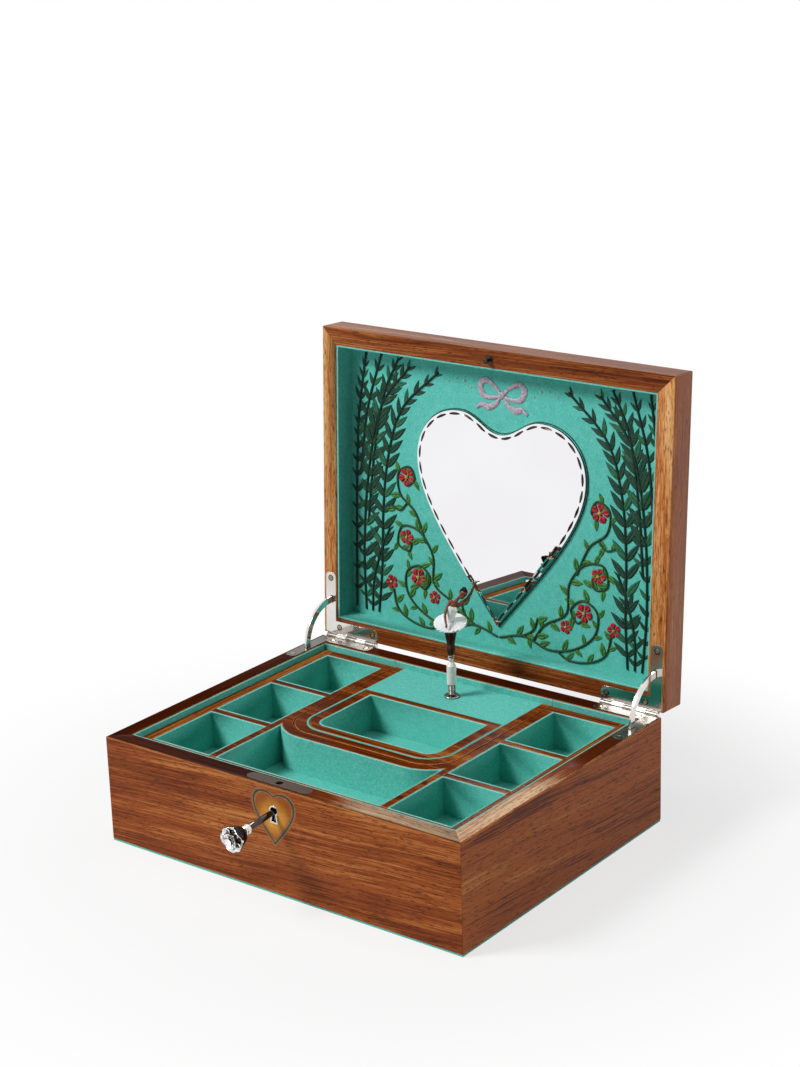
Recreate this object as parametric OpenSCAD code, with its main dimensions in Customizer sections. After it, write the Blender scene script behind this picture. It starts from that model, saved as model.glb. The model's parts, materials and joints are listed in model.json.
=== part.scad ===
// Wooden jewellery box with a music movement and a turning dancer.
// Millimetres. Origin: middle of the underside. +X right, +Y back, +Z up.
// The lid stands open in the rest position.

/* [Box] */
// Outside width, left to right
box_w = 300; // [280:1:330]
// Outside depth, front to back
box_d = 236; // [226:1:260]
// Height of the base, felt to rim
base_h = 78; // [74:0.5:95]
// Height of the lid, rim to top
lid_h = 23.4; // [22.4:0.2:34]
// Thickness of the wooden walls
wall_t = 13; // [12.5:0.25:15]
// Thickness of the bottom board
bottom_t = 6; // [4:0.5:7]
// Thickness of the felt under the box
felt_t = 1.2; // [0.8:0.1:2]
// Bevel on the outside edges of the walls
arris = 0.6; // [0.3:0.1:1]
// Thickness of the suede lining boards
lining_t = 1.3; // [0.8:0.1:1.6]
// How far the lining stops below the rim
lining_drop = 0.3; // [0.1:0.1:0.8]

/* [Lid] */
// Angle at which the lid stands open
lid_open = 93; // [88:0.5:95]
// Running gap between the closed rims
lid_gap = 0.3; // [0.2:0.05:0.5]
// Thickness of the board inside the lid's top
lid_board_t = 4; // [3:0.1:5]
// Thickness of the veneer over the lid's top
veneer_t = 0.8; // [0.6:0.1:1.2]
// Overall height of the heart mirror, lobe to tip
mirror_h = 155.5; // [120:0.5:165]
// Thickness of the mirror glass
mirror_t = 3; // [2.4:0.1:3.2]
// Width of the mirror's bevelled edge
mirror_bevel = 4; // [2:0.25:6]
// From the hinge axis to the mirror's tip
mirror_rise = 31.5; // [26:0.5:36]

/* [Hinges] */
// From the back face to the hinge axis
hinge_out = 2; // [1.8:0.05:2.2]
// Thickness of the hinge leaves
leaf_t = 1.6; // [1.2:0.1:1.8]
// Width of a hinge leaf's legs
leaf_w = 9.2; // [8.6:0.1:9.6]
// Reach of the leg along the side, from the hinge axis
leaf_side_l = 50; // [46:0.5:56]
// Length of the leg along the back
leaf_back_l = 49; // [47.5:0.5:56]
// From the box's side to the leaf
leaf_inset = 2; // [1.6:0.1:2.2]
// Radius of the hinge knuckles
knuckle_r = 2.4; // [2.3:0.05:2.5]
// Radius of the hinge pin
hinge_pin_r = 1.2; // [1:0.05:1.4]
// Radius of the stay arm's middle line
arm_r = 29; // [28:0.25:29.5]
// Width of the curved stay arm
arm_w = 5; // [4:0.25:5.25]
// Thickness of the curved stay arm
arm_t = 1.8; // [1.4:0.1:2]

/* [Trays] */
// From the rim down to the trays' top
tray_drop = 4.5; // [3.5:0.1:6]
// Depth of a compartment inside its lining
cell_depth = 27; // [22:0.5:30]
// Thickness of the trays' floors
tray_floor_t = 3; // [2:0.1:4]
// Width of the lift-out tray's outer walls
tray_wall = 8; // [6:0.25:10]
// Width of the dividers between compartments
divider_t = 5.5; // [4:0.25:8]
// Gap round the lift-out tray
tray_fit = 0.6; // [0.4:0.05:1]
// Number of compartments in each side column
rows = 3; // [2:1:4]
// Width of the tray's walls beside the housing
notch_side = 6.3; // [5:0.1:8]
// Width of the curved wall in front of the housing
notch_front = 7.8; // [6:0.1:10]
// Height of the rails that carry the lift-out tray
rail_h = 9; // [6:0.5:14]
// How far the rails stand out from the lining
rail_w = 5; // [4:0.25:7]

/* [Housing] */
// Width of the fixed housing in the middle
housing_w = 137.4; // [132:0.2:141]
// Depth of the housing, from the back lining forward
housing_d = 132.7; // [128:0.1:136]
// Radius of the housing's front corners
housing_r = 24.2; // [20:0.2:26]
// Thickness of the housing's side walls
housing_side = 7.6; // [6:0.1:9]
// Thickness of the housing's front wall
housing_front = 6.8; // [6:0.1:8]
// Depth of the panel over the movement
panel_d = 46.7; // [44:0.1:48]
// Thickness of the panel board
panel_t = 2.8; // [2:0.1:4]
// How far the panel lies below the trays' top
panel_drop = 0.2; // [0.1:0.1:0.8]
// Width of the centre tray's side walls
centre_side = 8; // [6:0.1:9]
// Width of the centre tray's front wall
centre_front = 7.3; // [6:0.1:9]
// Width of the centre tray's back wall
centre_back = 5.6; // [4:0.1:7]
// Radius of the centre tray's front corners inside
centre_cell_r = 9.3; // [6:0.1:12]

/* [Lock] */
// Height of the keyhole's middle above the table
key_z = 60.8; // [58:0.2:62]
// Height of the inlaid heart
inlay_h = 41.2; // [36:0.2:42]
// Depth of the inlay
inlay_t = 0.8; // [0.5:0.1:1.2]
// Width of the stringing round the heart
string_w = 4.6; // [3:0.1:5]
// Length of the lock plate on the rim
plate_l = 54; // [50:0.5:60]
// Width of the lock plate
plate_w = 8.4; // [7:0.1:8.6]
// Thickness of the lock plate
plate_t = 1.5; // [1:0.1:1.6]
// From the front face to the catch's middle
catch_in = 7.4; // [7:0.05:7.6]
// Radius of the key's shank
shank_r = 2.1; // [1.8:0.05:2.2]
// Length of the key outside the box, to the middle of its bow
key_reach = 41; // [34:0.5:46]
// Droop of the key in its lock, degrees
key_droop = 5; // [0:0.5:5]
// Radius of the key's flower bow
bow_r = 8.8; // [7:0.1:10]
// Travel of the lock's bolt
bolt_travel = 4; // [3:0.1:4.5]

/* [Movement] */
// Gear module of the wheels
gear_m = 0.7; // [0.65:0.01:0.72]
// Teeth on the spring barrel's rim
barrel_teeth = 48; // [44:2:50]
// Teeth on the dancer's wheel
spindle_teeth = 24; // [20:1:25]
// Teeth on the cylinder's pinion
pinion_teeth = 12; // [10:1:12]
// Thickness of the toothed rims
gear_t = 2.5; // [1.5:0.1:2.6]
// Radius of the pinned cylinder
cyl_r = 6.5; // [5.5:0.1:6.8]
// Number of tuned teeth in the comb
comb_teeth = 18; // [12:1:20]
// Pitch of the comb's teeth
comb_pitch = 1.25; // [1:0.05:1.3]

/* [Dancer] */
// From the back lining to the dancer's axis
dancer_back = 24.2; // [22:0.1:26]
// Height of the spring's middle above the panel
fold_h = 5.8; // [5.6:0.1:6.2]
// Radius of the coil spring
spring_r = 2.7; // [2.2:0.1:3]
// Wire radius of the coil spring
spring_wire = 0.4; // [0.3:0.05:0.45]
// Radius of the white post under the dancer
post_r = 3.4; // [3:0.1:3.5]
// Height of the dancer, toes to raised hand
figure_h = 61; // [50:0.5:64]
// Radius of the tutu
tutu_r = 12.6; // [10:0.1:13]

/* [Hidden] */
$fn = 64;
eps = 0.01;
rosewood = [0.45, 0.22, 0.12];
darkwood = [0.36, 0.16, 0.08];
suede = [0.18, 0.66, 0.58];
nickel = [0.78, 0.77, 0.74];
steel = [0.55, 0.56, 0.58];
gold = [0.78, 0.62, 0.30];

// heights
floor_z = felt_t + bottom_t;
tray_top = base_h - tray_drop;
tray_z = tray_top - cell_depth - lining_t - tray_floor_t;
cell_z = tray_z + tray_floor_t;
panel_top = tray_top - panel_drop;
panel_z = panel_top - lining_t - panel_t;
recess_board_t = 3;
recess_board_z = tray_z - lining_t - recess_board_t;

// plan of the inside
inner_x = box_w/2 - wall_t - lining_t;
inner_y = box_d/2 - wall_t - lining_t;
tray_x = inner_x - tray_fit;
tray_y = inner_y - tray_fit;

// housing
house_x = housing_w/2;
house_y = inner_y - housing_d;
recess_x = house_x - housing_side;
recess_y = house_y + housing_front;
recess_r = housing_r - 3.7;
panel_y = inner_y - panel_d;
bulkhead_y = panel_y + lining_t;
bulkhead_t = 4;
cleat = 4;

// notch in the lift-out tray, and its cells
notch_gap = 0.7;
notch_x = house_x + notch_gap;
notch_y = house_y - notch_gap;
notch_r = housing_r + notch_gap;
cell_in_x = notch_x + notch_side;
cell_out_x = tray_x - tray_wall;
cell_end_y = tray_y - tray_wall;
cell_l = (2*cell_end_y - (rows - 1)*divider_t)/rows;
front_cell_x = cell_in_x - divider_t;
front_top_y = -cell_end_y + cell_l - 0.5;
front_arc_r = notch_r + notch_front;
front_arc_x = notch_x - notch_r + front_arc_r;
front_arc_y = notch_y - notch_front;

// centre tray
centre_fit = 0.5;
centre_x = recess_x - lining_t - centre_fit;
centre_y = recess_y + lining_t + centre_fit;
centre_r = recess_r - lining_t - centre_fit;
centre_back_y = panel_y - centre_fit;
centre_cell_x = centre_x - centre_side;
centre_cell_y = centre_y + centre_front;
centre_cell_back = centre_back_y - centre_back;

// hinges
hinge_y = box_d/2 + hinge_out;
hinge_z = base_h;
pin_play = 0.05;
leaf_fit = 0.1;
leaf_out_x = box_w/2 - leaf_inset;
leaf_in_x = leaf_out_x - leaf_w;
leaf_end_x = leaf_out_x - leaf_back_l;
leaf_back_y = hinge_y - knuckle_r - 0.5;
leaf_corner_r = 3.4;
knuckles = 5;
barrel_x = leaf_end_x + 1;
barrel_l = leaf_back_l - 3;
knuckle_l = barrel_l/knuckles;
knuckle_gap = 0.2;
arm_x = box_w/2 - leaf_inset - leaf_w/2 - 0.9;
arm_fit = 0.4;
arm_tuck = 6;
arm_ratio = 0.66;
arm_arc = lid_open + 2*arm_tuck;
arm_pocket = arm_tuck + arm_ratio*lid_open + 3;
screw_head_r = 2.1;
screw_r = 0.9;
screw_l = 8;
screw_play = 0.05;
screw_at = [[leaf_in_x + leaf_w/2, hinge_y - leaf_side_l + 4.5],
            [leaf_in_x - 3.6, leaf_back_y - leaf_w/2],
            [leaf_end_x + 4.5, leaf_back_y - leaf_w/2]];

// lid, modelled closed and then swung open about the hinge axis
lid_z = base_h + lid_gap;
lid_top_z = base_h + lid_h;
lid_wall_top = lid_top_z - veneer_t;
lid_board_z = lid_wall_top - lid_board_t;
lid_lining_z = lid_board_z - lining_t;
mirror_z = lid_lining_z - mirror_t;
catch_y = -box_d/2 + catch_in;
arm_in = arm_r - arm_w/2;
arm_out = arm_r + arm_w/2;
barrel_play = 0.3;
leaf_seat = 0.05;
screw_pit = 0.3;
stud_neck_r = 1.2;
stud_head_r = 2;
stud_drop = 5.8;

// lock
mortise_x = plate_l/2 - 5;
case_fit = 0.2;
case_t = 8.4;
case_z = key_z - 15;
case_wall = 1;
case_top = base_h - plate_t;
case_y = catch_y - case_t/2;
bolt_t = 1.9;
bolt_z = case_top - 0.3 - bolt_t;
keyhole_r = 3.7;
keyhole_wall = 1.1;
keyhole_neck = 1.9;
keyhole_foot = 3.2;
keyhole_slot = 9;
inlay_z = key_z + 14.7;
key_pivot_in = 5;
key_pivot_y = -box_d/2 + key_pivot_in;
key_out = key_reach + key_pivot_in;
key_in = case_t + case_y - key_pivot_y - 0.4;

// movement
dancer_y = inner_y - dancer_back;
barrel_r = gear_m*barrel_teeth/2;
spindle_wheel_r = gear_m*spindle_teeth/2;
wheel_play = 0.1;
barrel_y = dancer_y - barrel_r - spindle_wheel_r - wheel_play;
bed_z = floor_z + 2.8;
bed_t = 2;
bed_top = bed_z + bed_t;
wheel_z = bed_top + 1;
drum_z = wheel_z + gear_t;
crown_teeth = barrel_teeth;
crown_r = barrel_r - 2.6;
crown_m = 2*crown_r/crown_teeth;
crown_tooth = 1.2;
pinion_r = crown_m*pinion_teeth/2;
pinion_play = 0.15;
pin_out = 0.6;
cyl_gap = 2;
cyl_z = recess_board_z - cyl_gap - pin_out - cyl_r;
drum_top = cyl_z - crown_tooth/2 - pinion_r - pinion_play;
drum_h = drum_top - drum_z;
shaft_play = 0.05;
cyl_x0 = crown_r + 3;
cyl_l = comb_teeth*comb_pitch + 3;
arbor_r = 2;
comb_gap = 0.9;
comb_y0 = barrel_y + cyl_r + comb_gap;
comb_slot_l = 14;
comb_foot = 10;
comb_y1 = comb_y0 + comb_slot_l + comb_foot;
comb_x0 = cyl_x0 + 1.5;
comb_w = comb_teeth*comb_pitch;
comb_t = 1.2;
foot_r = 3.2;
foot_front = barrel_y - barrel_r - 1.2;
foot_back = dancer_y + spindle_wheel_r - 0.4;
foot_left = -16;
foot_right = cyl_x0 + cyl_l + 5.3;
foot_at = [for (x = [foot_left, foot_right], y = [foot_front, foot_back]) [x, y]];
bed_margin = 5;
well_r = 15;
key_hub_z = felt_t + 0.9;
spindle_r = 1.5;

// dancer
fold_z = panel_top + fold_h;
flange_t = 1.4;
flange_r = 5.8;
spring_gap = fold_h - flange_t;
post_h = 13.8;
post_z = fold_z + spring_gap - 0.2;
toe_z = post_z + post_h + 2.6;
figure_turn = 38;

// ---------- shared shapes ----------

// half outline of a heart one unit high with its tip at the origin, as three curves;
// a soft heart has a rounded valley in place of a sharp cleft
heart_cleft = 0.916;
heart_half = [[[0, 0], [0.225, 0.28], [0.469, 0.537], [0.469, 0.756]],
              [[0.469, 0.756], [0.469, 0.891], [0.373, 1], [0.225, 1]]];
sharp_cleft = [[0.225, 1], [0.129, 1], [0.039, 0.961], [0, heart_cleft]];
soft_cleft = [[0.225, 1], [0.134, 1], [0.085, heart_cleft], [0, heart_cleft]];
function curve_at(c, t) =
    pow(1 - t, 3)*c[0] + 3*pow(1 - t, 2)*t*c[1] + 3*(1 - t)*t*t*c[2] + pow(t, 3)*c[3];
function heart_side(n, soft) =
    [for (c = concat(heart_half, [soft ? soft_cleft : sharp_cleft]))
        for (i = [0:n - 1]) curve_at(c, i/n)];
function heart_points(side, n) =
    concat(side, [[0, heart_cleft]], [for (i = [3*n - 1:-1:1]) [-side[i][0], side[i][1]]]);

module heart(h, soft = false, n = 14) {
    scale([h, h]) polygon(heart_points(heart_side(n, soft), n));
}

// outline with two rounded front corners
module round_front(half, front, back, r) {
    translate([-half, front + r]) square([2*half, back - front - r]);
    translate([r - half, front]) square([2*(half - r), back - front]);
    for (s = [-1, 1]) translate([s*(half - r), front + r]) circle(r = r, $fn = 96);
}

module slab(z, h) {
    translate([0, 0, z]) linear_extrude(height = h) children();
}

// board along X with mitred ends, outer face on y = 0
module mitred_board(l, z, h) {
    translate([0, 0, z]) linear_extrude(height = h)
        polygon([[arris - l/2, 0], [l/2 - arris, 0], [l/2 - arris/2, arris/2],
                 [l/2 - wall_t, wall_t], [wall_t - l/2, wall_t], [arris/2 - l/2, arris/2]]);
}

// bevel along a board's outer edge at height z
module edge_bevel(l, z) {
    translate([0, 0, z]) rotate([45, 0, 0]) cube([l + 2, arris*sqrt(2), arris*sqrt(2)], center = true);
}

module board(l, z, h) {
    difference() {
        mitred_board(l, z, h);
        edge_bevel(l, z);
        edge_bevel(l, z + h);
    }
}

module at_front() { translate([0, -box_d/2, 0]) children(); }
module at_back() { translate([0, box_d/2, 0]) rotate([0, 0, 180]) children(); }
module at_left() { translate([-box_w/2, 0, 0]) rotate([0, 0, -90]) children(); }
module at_right() { translate([box_w/2, 0, 0]) rotate([0, 0, 90]) children(); }

module pair() {
    children();
    mirror([1, 0, 0]) children();
}

module lid_swing() {
    translate([0, hinge_y, hinge_z]) rotate([-lid_open, 0, 0])
        translate([0, -hinge_y, -hinge_z]) children();
}

// straight-flanked wheel: tooth thickness is given as a share of the pitch
module toothed(n, m, h, r_bore) {
    r = m*n/2;
    step = 360/n;
    difference() {
        linear_extrude(height = h) polygon([for (i = [0:n - 1]) for (k = [[-0.29, -1.2], [-0.19, 0],
            [-0.09, 0.85], [0.09, 0.85], [0.19, 0], [0.29, -1.2]])
            (r + k[1]*m)*[cos((i + k[0])*step), sin((i + k[0])*step)]]);
        translate([0, 0, -1]) cylinder(r = r_bore, h = h + 2);
    }
}

// ---------- base ----------

// hinge leaf outline on the right-hand side; grow widens it for its pocket
module leaf_outline(grow = 0) {
    side_l = leaf_side_l - knuckle_r - 0.5;
    y0 = hinge_y - leaf_side_l;
    g = grow;
    r = leaf_corner_r;
    translate([leaf_in_x - g, y0 + r]) square([leaf_w + 2*g, side_l - r + g]);
    translate([leaf_in_x + r, y0 - g]) square([leaf_w - 2*r, side_l]);
    for (x = [leaf_in_x + r, leaf_out_x - r]) translate([x, y0 + r]) circle(r = r + g);
    translate([leaf_end_x + r, leaf_back_y - leaf_w - g]) square([leaf_back_l - r + g, leaf_w + 2*g]);
    translate([leaf_end_x - g, leaf_back_y - leaf_w + r]) square([2*r, leaf_w - 2*r]);
    for (y = [r - leaf_w, -r]) translate([leaf_end_x + r, leaf_back_y + y]) circle(r = r + g);
}

// ring sector in the plane of the stay arm: degrees run from the front up
module arm_sector(r0, r1, t, a0, a1) {
    translate([arm_x, hinge_y, hinge_z]) rotate([90, 0, -90]) rotate([0, 0, a0])
        rotate_extrude(angle = a1 - a0, $fn = 128) translate([r0, -t/2]) square([r1 - r0, t]);
}

module arm_slot_2d(grow) {
    translate([arm_x - arm_t/2 - grow, hinge_y - arm_r - arm_w/2 - grow])
        square([arm_t + 2*grow, arm_w + 2*grow]);
}

module barrel_groove() {
    translate([barrel_x - barrel_play, hinge_y, hinge_z]) rotate([0, 90, 0])
        cylinder(r = knuckle_r + barrel_play + 0.1, h = barrel_l + 2*barrel_play);
}

// everything that is cut out of the base walls for one hinge
module base_hinge_cut() {
    pair() {
        slab(base_h - leaf_t - leaf_seat, leaf_t + 1) leaf_outline(leaf_fit);
        translate([barrel_x - barrel_play, leaf_back_y - 2, base_h - leaf_t - leaf_seat])
            cube([barrel_l + 2*barrel_play, 10, leaf_t + 1]);
        barrel_groove();
        arm_sector(arm_in - arm_fit, arm_out + arm_fit, arm_t + 2*arm_fit, -arm_pocket, 2);
        for (p = screw_at) translate([p[0], p[1], base_h - leaf_t - screw_l - screw_pit])
            cylinder(r = screw_r + screw_play, h = screw_l + 2);
    }
}

module lid_hinge_cut() {
    pair() {
        slab(lid_z - 1, leaf_t + leaf_seat + 1) leaf_outline(leaf_fit);
        translate([barrel_x - barrel_play, leaf_back_y - 2, lid_z - 1])
            cube([barrel_l + 2*barrel_play, 10, leaf_t + leaf_seat + 1]);
        barrel_groove();
        arm_sector(arm_in - arm_fit, arm_out + arm_fit, arm_t + 2*arm_fit,
                   -2, arm_arc - arm_tuck - arm_ratio*lid_open + 2);
        for (p = screw_at) translate([p[0], p[1], lid_z + leaf_t - 1.7])
            cylinder(r = screw_r + screw_play, h = screw_l + 2);
    }
}

// keyhole outline: a round with a flared slot below it, in the XZ plane
module keyhole(grow) {
    circle(r = keyhole_r + grow);
    neck = keyhole_neck + grow;
    foot = keyhole_foot + grow;
    polygon([[-neck, 0], [-foot, -keyhole_slot - grow], [foot, -keyhole_slot - grow], [neck, 0]]);
}

module on_front(depth, back) {
    translate([0, -box_d/2 + depth, key_z]) rotate([90, 0, 0])
        linear_extrude(height = depth + back) children();
}

// the inlaid heart, drawn from the keyhole's middle
module inlay_heart(shrink) {
    translate([0, inlay_z - key_z - inlay_h + shrink*1.25]) heart(inlay_h - 2.1*shrink);
}

module lock_mortise() {
    translate([-mortise_x - case_fit, case_y - case_fit, case_z - case_fit])
        cube([2*(mortise_x + case_fit), case_t + 2*case_fit, base_h]);
    slab(base_h - plate_t, plate_t + 1) plate_outline(0.05);
}

module plate_outline(grow) {
    l = plate_l - plate_w;
    translate([-l/2, catch_y - plate_w/2 - grow]) square([l, plate_w + 2*grow]);
    for (s = [-1, 1]) translate([s*l/2, catch_y]) circle(r = plate_w/2 + grow);
}

module front_wall() {
    color(rosewood) difference() {
        at_front() board(box_w, felt_t, base_h - felt_t);
        lock_mortise();
        on_front(inlay_t, 1) inlay_heart(-0.02);
        on_front(case_y + box_d/2 + 1, 1) keyhole(0.02);
    }
}

module back_wall() {
    color(rosewood) difference() {
        at_back() board(box_w, felt_t, base_h - felt_t);
        base_hinge_cut();
    }
}

module left_wall() {
    color(rosewood) difference() {
        at_left() board(box_d, felt_t, base_h - felt_t);
        base_hinge_cut();
    }
}

module right_wall() {
    color(rosewood) difference() {
        at_right() board(box_d, felt_t, base_h - felt_t);
        base_hinge_cut();
    }
}

module bottom_board() {
    x = box_w/2 - wall_t;
    y = box_d/2 - wall_t;
    color(darkwood) difference() {
        translate([-x, -y, felt_t]) cube([2*x, 2*y, bottom_t]);
        translate([0, barrel_y, 0]) cylinder(r = well_r, h = floor_z + 1);
        bed_feet() translate([0, 0, bed_top - screw_l - screw_pit])
            cylinder(r = screw_r + screw_play, h = floor_z);
    }
}

module bottom_felt() {
    color(suede) difference() {
        translate([-box_w/2 + 0.2, -box_d/2 + 0.2, 0]) cube([box_w - 0.4, box_d - 0.4, felt_t]);
        translate([0, barrel_y, -1]) cylinder(r = well_r + 1, h = felt_t + 2);
    }
}

// lining boards on the four walls; the back one is in three lengths
module base_lining() {
    h = base_h - lining_drop - floor_z;
    x = inner_x + lining_t;
    gap = 0.3;
    color(suede) translate([0, 0, floor_z]) {
        for (s = [-1, 1]) translate([s > 0 ? inner_x : -x, -inner_y + gap, 0])
            cube([lining_t, 2*inner_y - 2*gap, h]);
        translate([-x, -inner_y - lining_t, 0]) cube([2*x, lining_t, h]);
        translate([-notch_x, inner_y, 0]) cube([2*notch_x, lining_t, h]);
        for (s = [-1, 1]) translate([s > 0 ? notch_x + gap : -x, inner_y, 0])
            cube([x - notch_x - gap, lining_t, h]);
    }
}

module floor_lining() {
    color(suede) slab(floor_z, lining_t) difference() {
        square([2*inner_x - 0.2, 2*inner_y - 0.2], center = true);
        round_front(house_x + 0.1, house_y - 0.1, inner_y + 1, housing_r);
    }
}

// rails that the lift-out tray rests on
module tray_rails() {
    z = tray_z - rail_h;
    color(suede) {
        for (s = [-1, 1]) translate([s > 0 ? inner_x - rail_w : -inner_x, -inner_y + rail_w + 0.2, z])
            cube([rail_w, 2*inner_y - rail_w - 0.4, rail_h]);
        translate([-inner_x + 0.1, -inner_y, z]) cube([2*inner_x - 0.2, rail_w, rail_h]);
    }
}

// ---------- housing ----------

module housing_frame() {
    color(darkwood) slab(floor_z, tray_top - floor_z) difference() {
        round_front(house_x, house_y, inner_y, housing_r);
        round_front(recess_x, recess_y, inner_y + 1, recess_r);
    }
}

module recess_floor() {
    color(darkwood) slab(recess_board_z, recess_board_t)
        round_front(recess_x, recess_y, bulkhead_y, recess_r);
}

// bulkhead between recess and movement, with the cleats that carry the panel
module panel_supports() {
    cleat_y = bulkhead_y + bulkhead_t + 1;
    color(darkwood) {
        translate([-recess_x, bulkhead_y, recess_board_z])
            cube([2*recess_x, bulkhead_t, panel_z - recess_board_z]);
        for (s = [-1, 1]) translate([s > 0 ? recess_x - cleat : -recess_x, cleat_y, panel_z - cleat])
            cube([cleat, inner_y - cleat_y, cleat]);
    }
}

module movement_panel() {
    color(darkwood) difference() {
        translate([-recess_x, panel_y, panel_z]) cube([2*recess_x, panel_d, panel_t]);
        translate([0, dancer_y, panel_z - 1]) cylinder(r = spindle_r + 1.15, h = panel_t + 2);
    }
}

// suede in the recess and over the panel
module housing_lining() {
    color(suede) {
        difference() {
            slab(tray_z - lining_t, panel_z - tray_z + lining_t)
                round_front(recess_x, recess_y, bulkhead_y, recess_r);
            slab(tray_z, base_h)
                round_front(recess_x - lining_t, recess_y + lining_t, panel_y, recess_r - lining_t);
        }
        difference() {
            slab(panel_z, tray_top - panel_z) round_front(recess_x, recess_y, panel_y, recess_r);
            slab(panel_z - 1, base_h)
                round_front(recess_x - lining_t, recess_y + lining_t, panel_y + 1, recess_r - lining_t);
        }
        difference() {
            translate([-recess_x, panel_y - eps, panel_top - lining_t])
                cube([2*recess_x, panel_d + eps, lining_t]);
            translate([0, dancer_y, panel_z - 1]) cylinder(r = spindle_r + 1.15, h = panel_t + 5);
        }
    }
}

// ---------- lift-out tray ----------

module column_cell(i, inset = 0) {
    translate([-cell_out_x + inset, -cell_end_y + i*(cell_l + divider_t) + inset])
        square([cell_out_x - cell_in_x - 2*inset, cell_l - 2*inset]);
}

module front_cell(inset = 0) {
    difference() {
        translate([-front_cell_x + inset, -cell_end_y + inset])
            square([2*(front_cell_x - inset), cell_end_y - inset]);
        round_front(front_arc_x + inset, front_arc_y - inset, 10, front_arc_r + inset);
    }
}

module tray_side_walls() {
    color(rosewood) pair() slab(cell_z, tray_top - cell_z)
        translate([-tray_x, -tray_y]) square([tray_wall, 2*tray_y]);
}

module tray_end_walls() {
    color(rosewood) slab(cell_z, tray_top - cell_z) {
        translate([-cell_out_x, -tray_y]) square([2*cell_out_x, tray_wall]);
        for (s = [-1, 1]) translate([s > 0 ? notch_x : -cell_out_x, cell_end_y])
            square([cell_out_x - notch_x, tray_wall]);
    }
}

// bent wall round the housing
module tray_notch_wall() {
    color(rosewood) slab(cell_z, tray_top - cell_z) difference() {
        union() {
            intersection() {
                round_front(front_arc_x, front_arc_y, cell_end_y, front_arc_r);
                translate([-cell_in_x, -cell_end_y]) square([2*cell_in_x, 2*cell_end_y]);
            }
            for (s = [-1, 1]) translate([s > 0 ? front_cell_x : -cell_in_x, front_top_y])
                square([divider_t, -front_top_y]);
        }
        round_front(notch_x, notch_y, cell_end_y + 1, notch_r);
    }
}

module tray_dividers() {
    color(rosewood) slab(cell_z, tray_top - cell_z) {
        for (s = [-1, 1], i = [1:rows - 1]) translate([s > 0 ? cell_in_x : -cell_out_x,
            -cell_end_y + i*(cell_l + divider_t) - divider_t]) square([cell_out_x - cell_in_x, divider_t]);
        for (s = [-1, 1]) translate([s > 0 ? front_cell_x : -cell_in_x, -cell_end_y])
            square([divider_t, front_top_y + cell_end_y]);
    }
}

module tray_floor() {
    color(darkwood) slab(tray_z, tray_floor_t) difference() {
        square([2*tray_x, 2*tray_y], center = true);
        round_front(notch_x, notch_y, tray_y + 1, notch_r);
    }
}

module tray_lining() {
    color(suede) difference() {
        slab(cell_z, tray_top - cell_z) {
            pair() for (i = [0:rows - 1]) column_cell(i);
            front_cell();
        }
        slab(cell_z + lining_t, 100) {
            pair() for (i = [0:rows - 1]) column_cell(i, lining_t);
            front_cell(lining_t);
        }
    }
}

// ---------- centre tray ----------

module centre_cell(inset = 0) {
    round_front(centre_cell_x - inset, centre_cell_y + inset, centre_cell_back - inset,
                centre_cell_r - inset);
}

module centre_tray_frame() {
    color(rosewood) slab(cell_z, tray_top - cell_z) difference() {
        round_front(centre_x, centre_y, centre_back_y, centre_r);
        centre_cell();
    }
}

module centre_tray_floor() {
    color(darkwood) slab(tray_z, tray_floor_t) round_front(centre_x, centre_y, centre_back_y, centre_r);
}

module centre_tray_lining() {
    color(suede) difference() {
        slab(cell_z, tray_top - cell_z) centre_cell();
        slab(cell_z + lining_t, 100) centre_cell(lining_t);
    }
}

// ---------- lid ----------

module lid_wall(l) {
    difference() {
        mitred_board(l, lid_z, lid_wall_top - lid_z);
        edge_bevel(l, lid_z);
    }
}

module lid_front_wall() {
    color(rosewood) lid_swing() difference() {
        at_front() lid_wall(box_w);
        translate([0, catch_y, lid_z - 1]) cylinder(r = stud_neck_r + 0.35, h = 10);
        translate([0, catch_y, lid_z - 1]) cylinder(r = 3.5, h = 1.85);
    }
}

module lid_back_wall() {
    color(rosewood) lid_swing() difference() {
        at_back() lid_wall(box_w);
        lid_hinge_cut();
    }
}

module lid_left_wall() {
    color(rosewood) lid_swing() difference() {
        at_left() lid_wall(box_d);
        lid_hinge_cut();
    }
}

module lid_right_wall() {
    color(rosewood) lid_swing() difference() {
        at_right() lid_wall(box_d);
        lid_hinge_cut();
    }
}

module lid_board() {
    x = box_w/2 - wall_t;
    y = box_d/2 - wall_t;
    color(darkwood) lid_swing() translate([-x, -y, lid_board_z]) cube([2*x, 2*y, lid_board_t]);
}

// veneer leaf over the lid's top, with its outer edges bevelled
module lid_veneer() {
    color(rosewood) lid_swing() difference() {
        slab(lid_wall_top, veneer_t) polygon([for (s = [[1, 1], [-1, 1], [-1, -1], [1, -1]])
            for (k = s[0]*s[1] > 0 ? [[0, 1], [1, 0]] : [[1, 0], [0, 1]])
            [s[0]*(box_w/2 - k[0]*arris), s[1]*(box_d/2 - k[1]*arris)]]);
        at_front() edge_bevel(box_w, lid_top_z);
        at_back() edge_bevel(box_w, lid_top_z);
        at_left() edge_bevel(box_d, lid_top_z);
        at_right() edge_bevel(box_d, lid_top_z);
    }
}

module lid_lining() {
    z = lid_z + lining_drop;
    x = inner_x + lining_t;
    y = inner_y + lining_t;
    color(suede) lid_swing() difference() {
        translate([-x, -y, z]) cube([2*x, 2*y, lid_board_z - z]);
        translate([-inner_x, -inner_y, z - 1]) cube([2*inner_x, 2*inner_y, lid_lining_z - z + 1]);
    }
}

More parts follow.
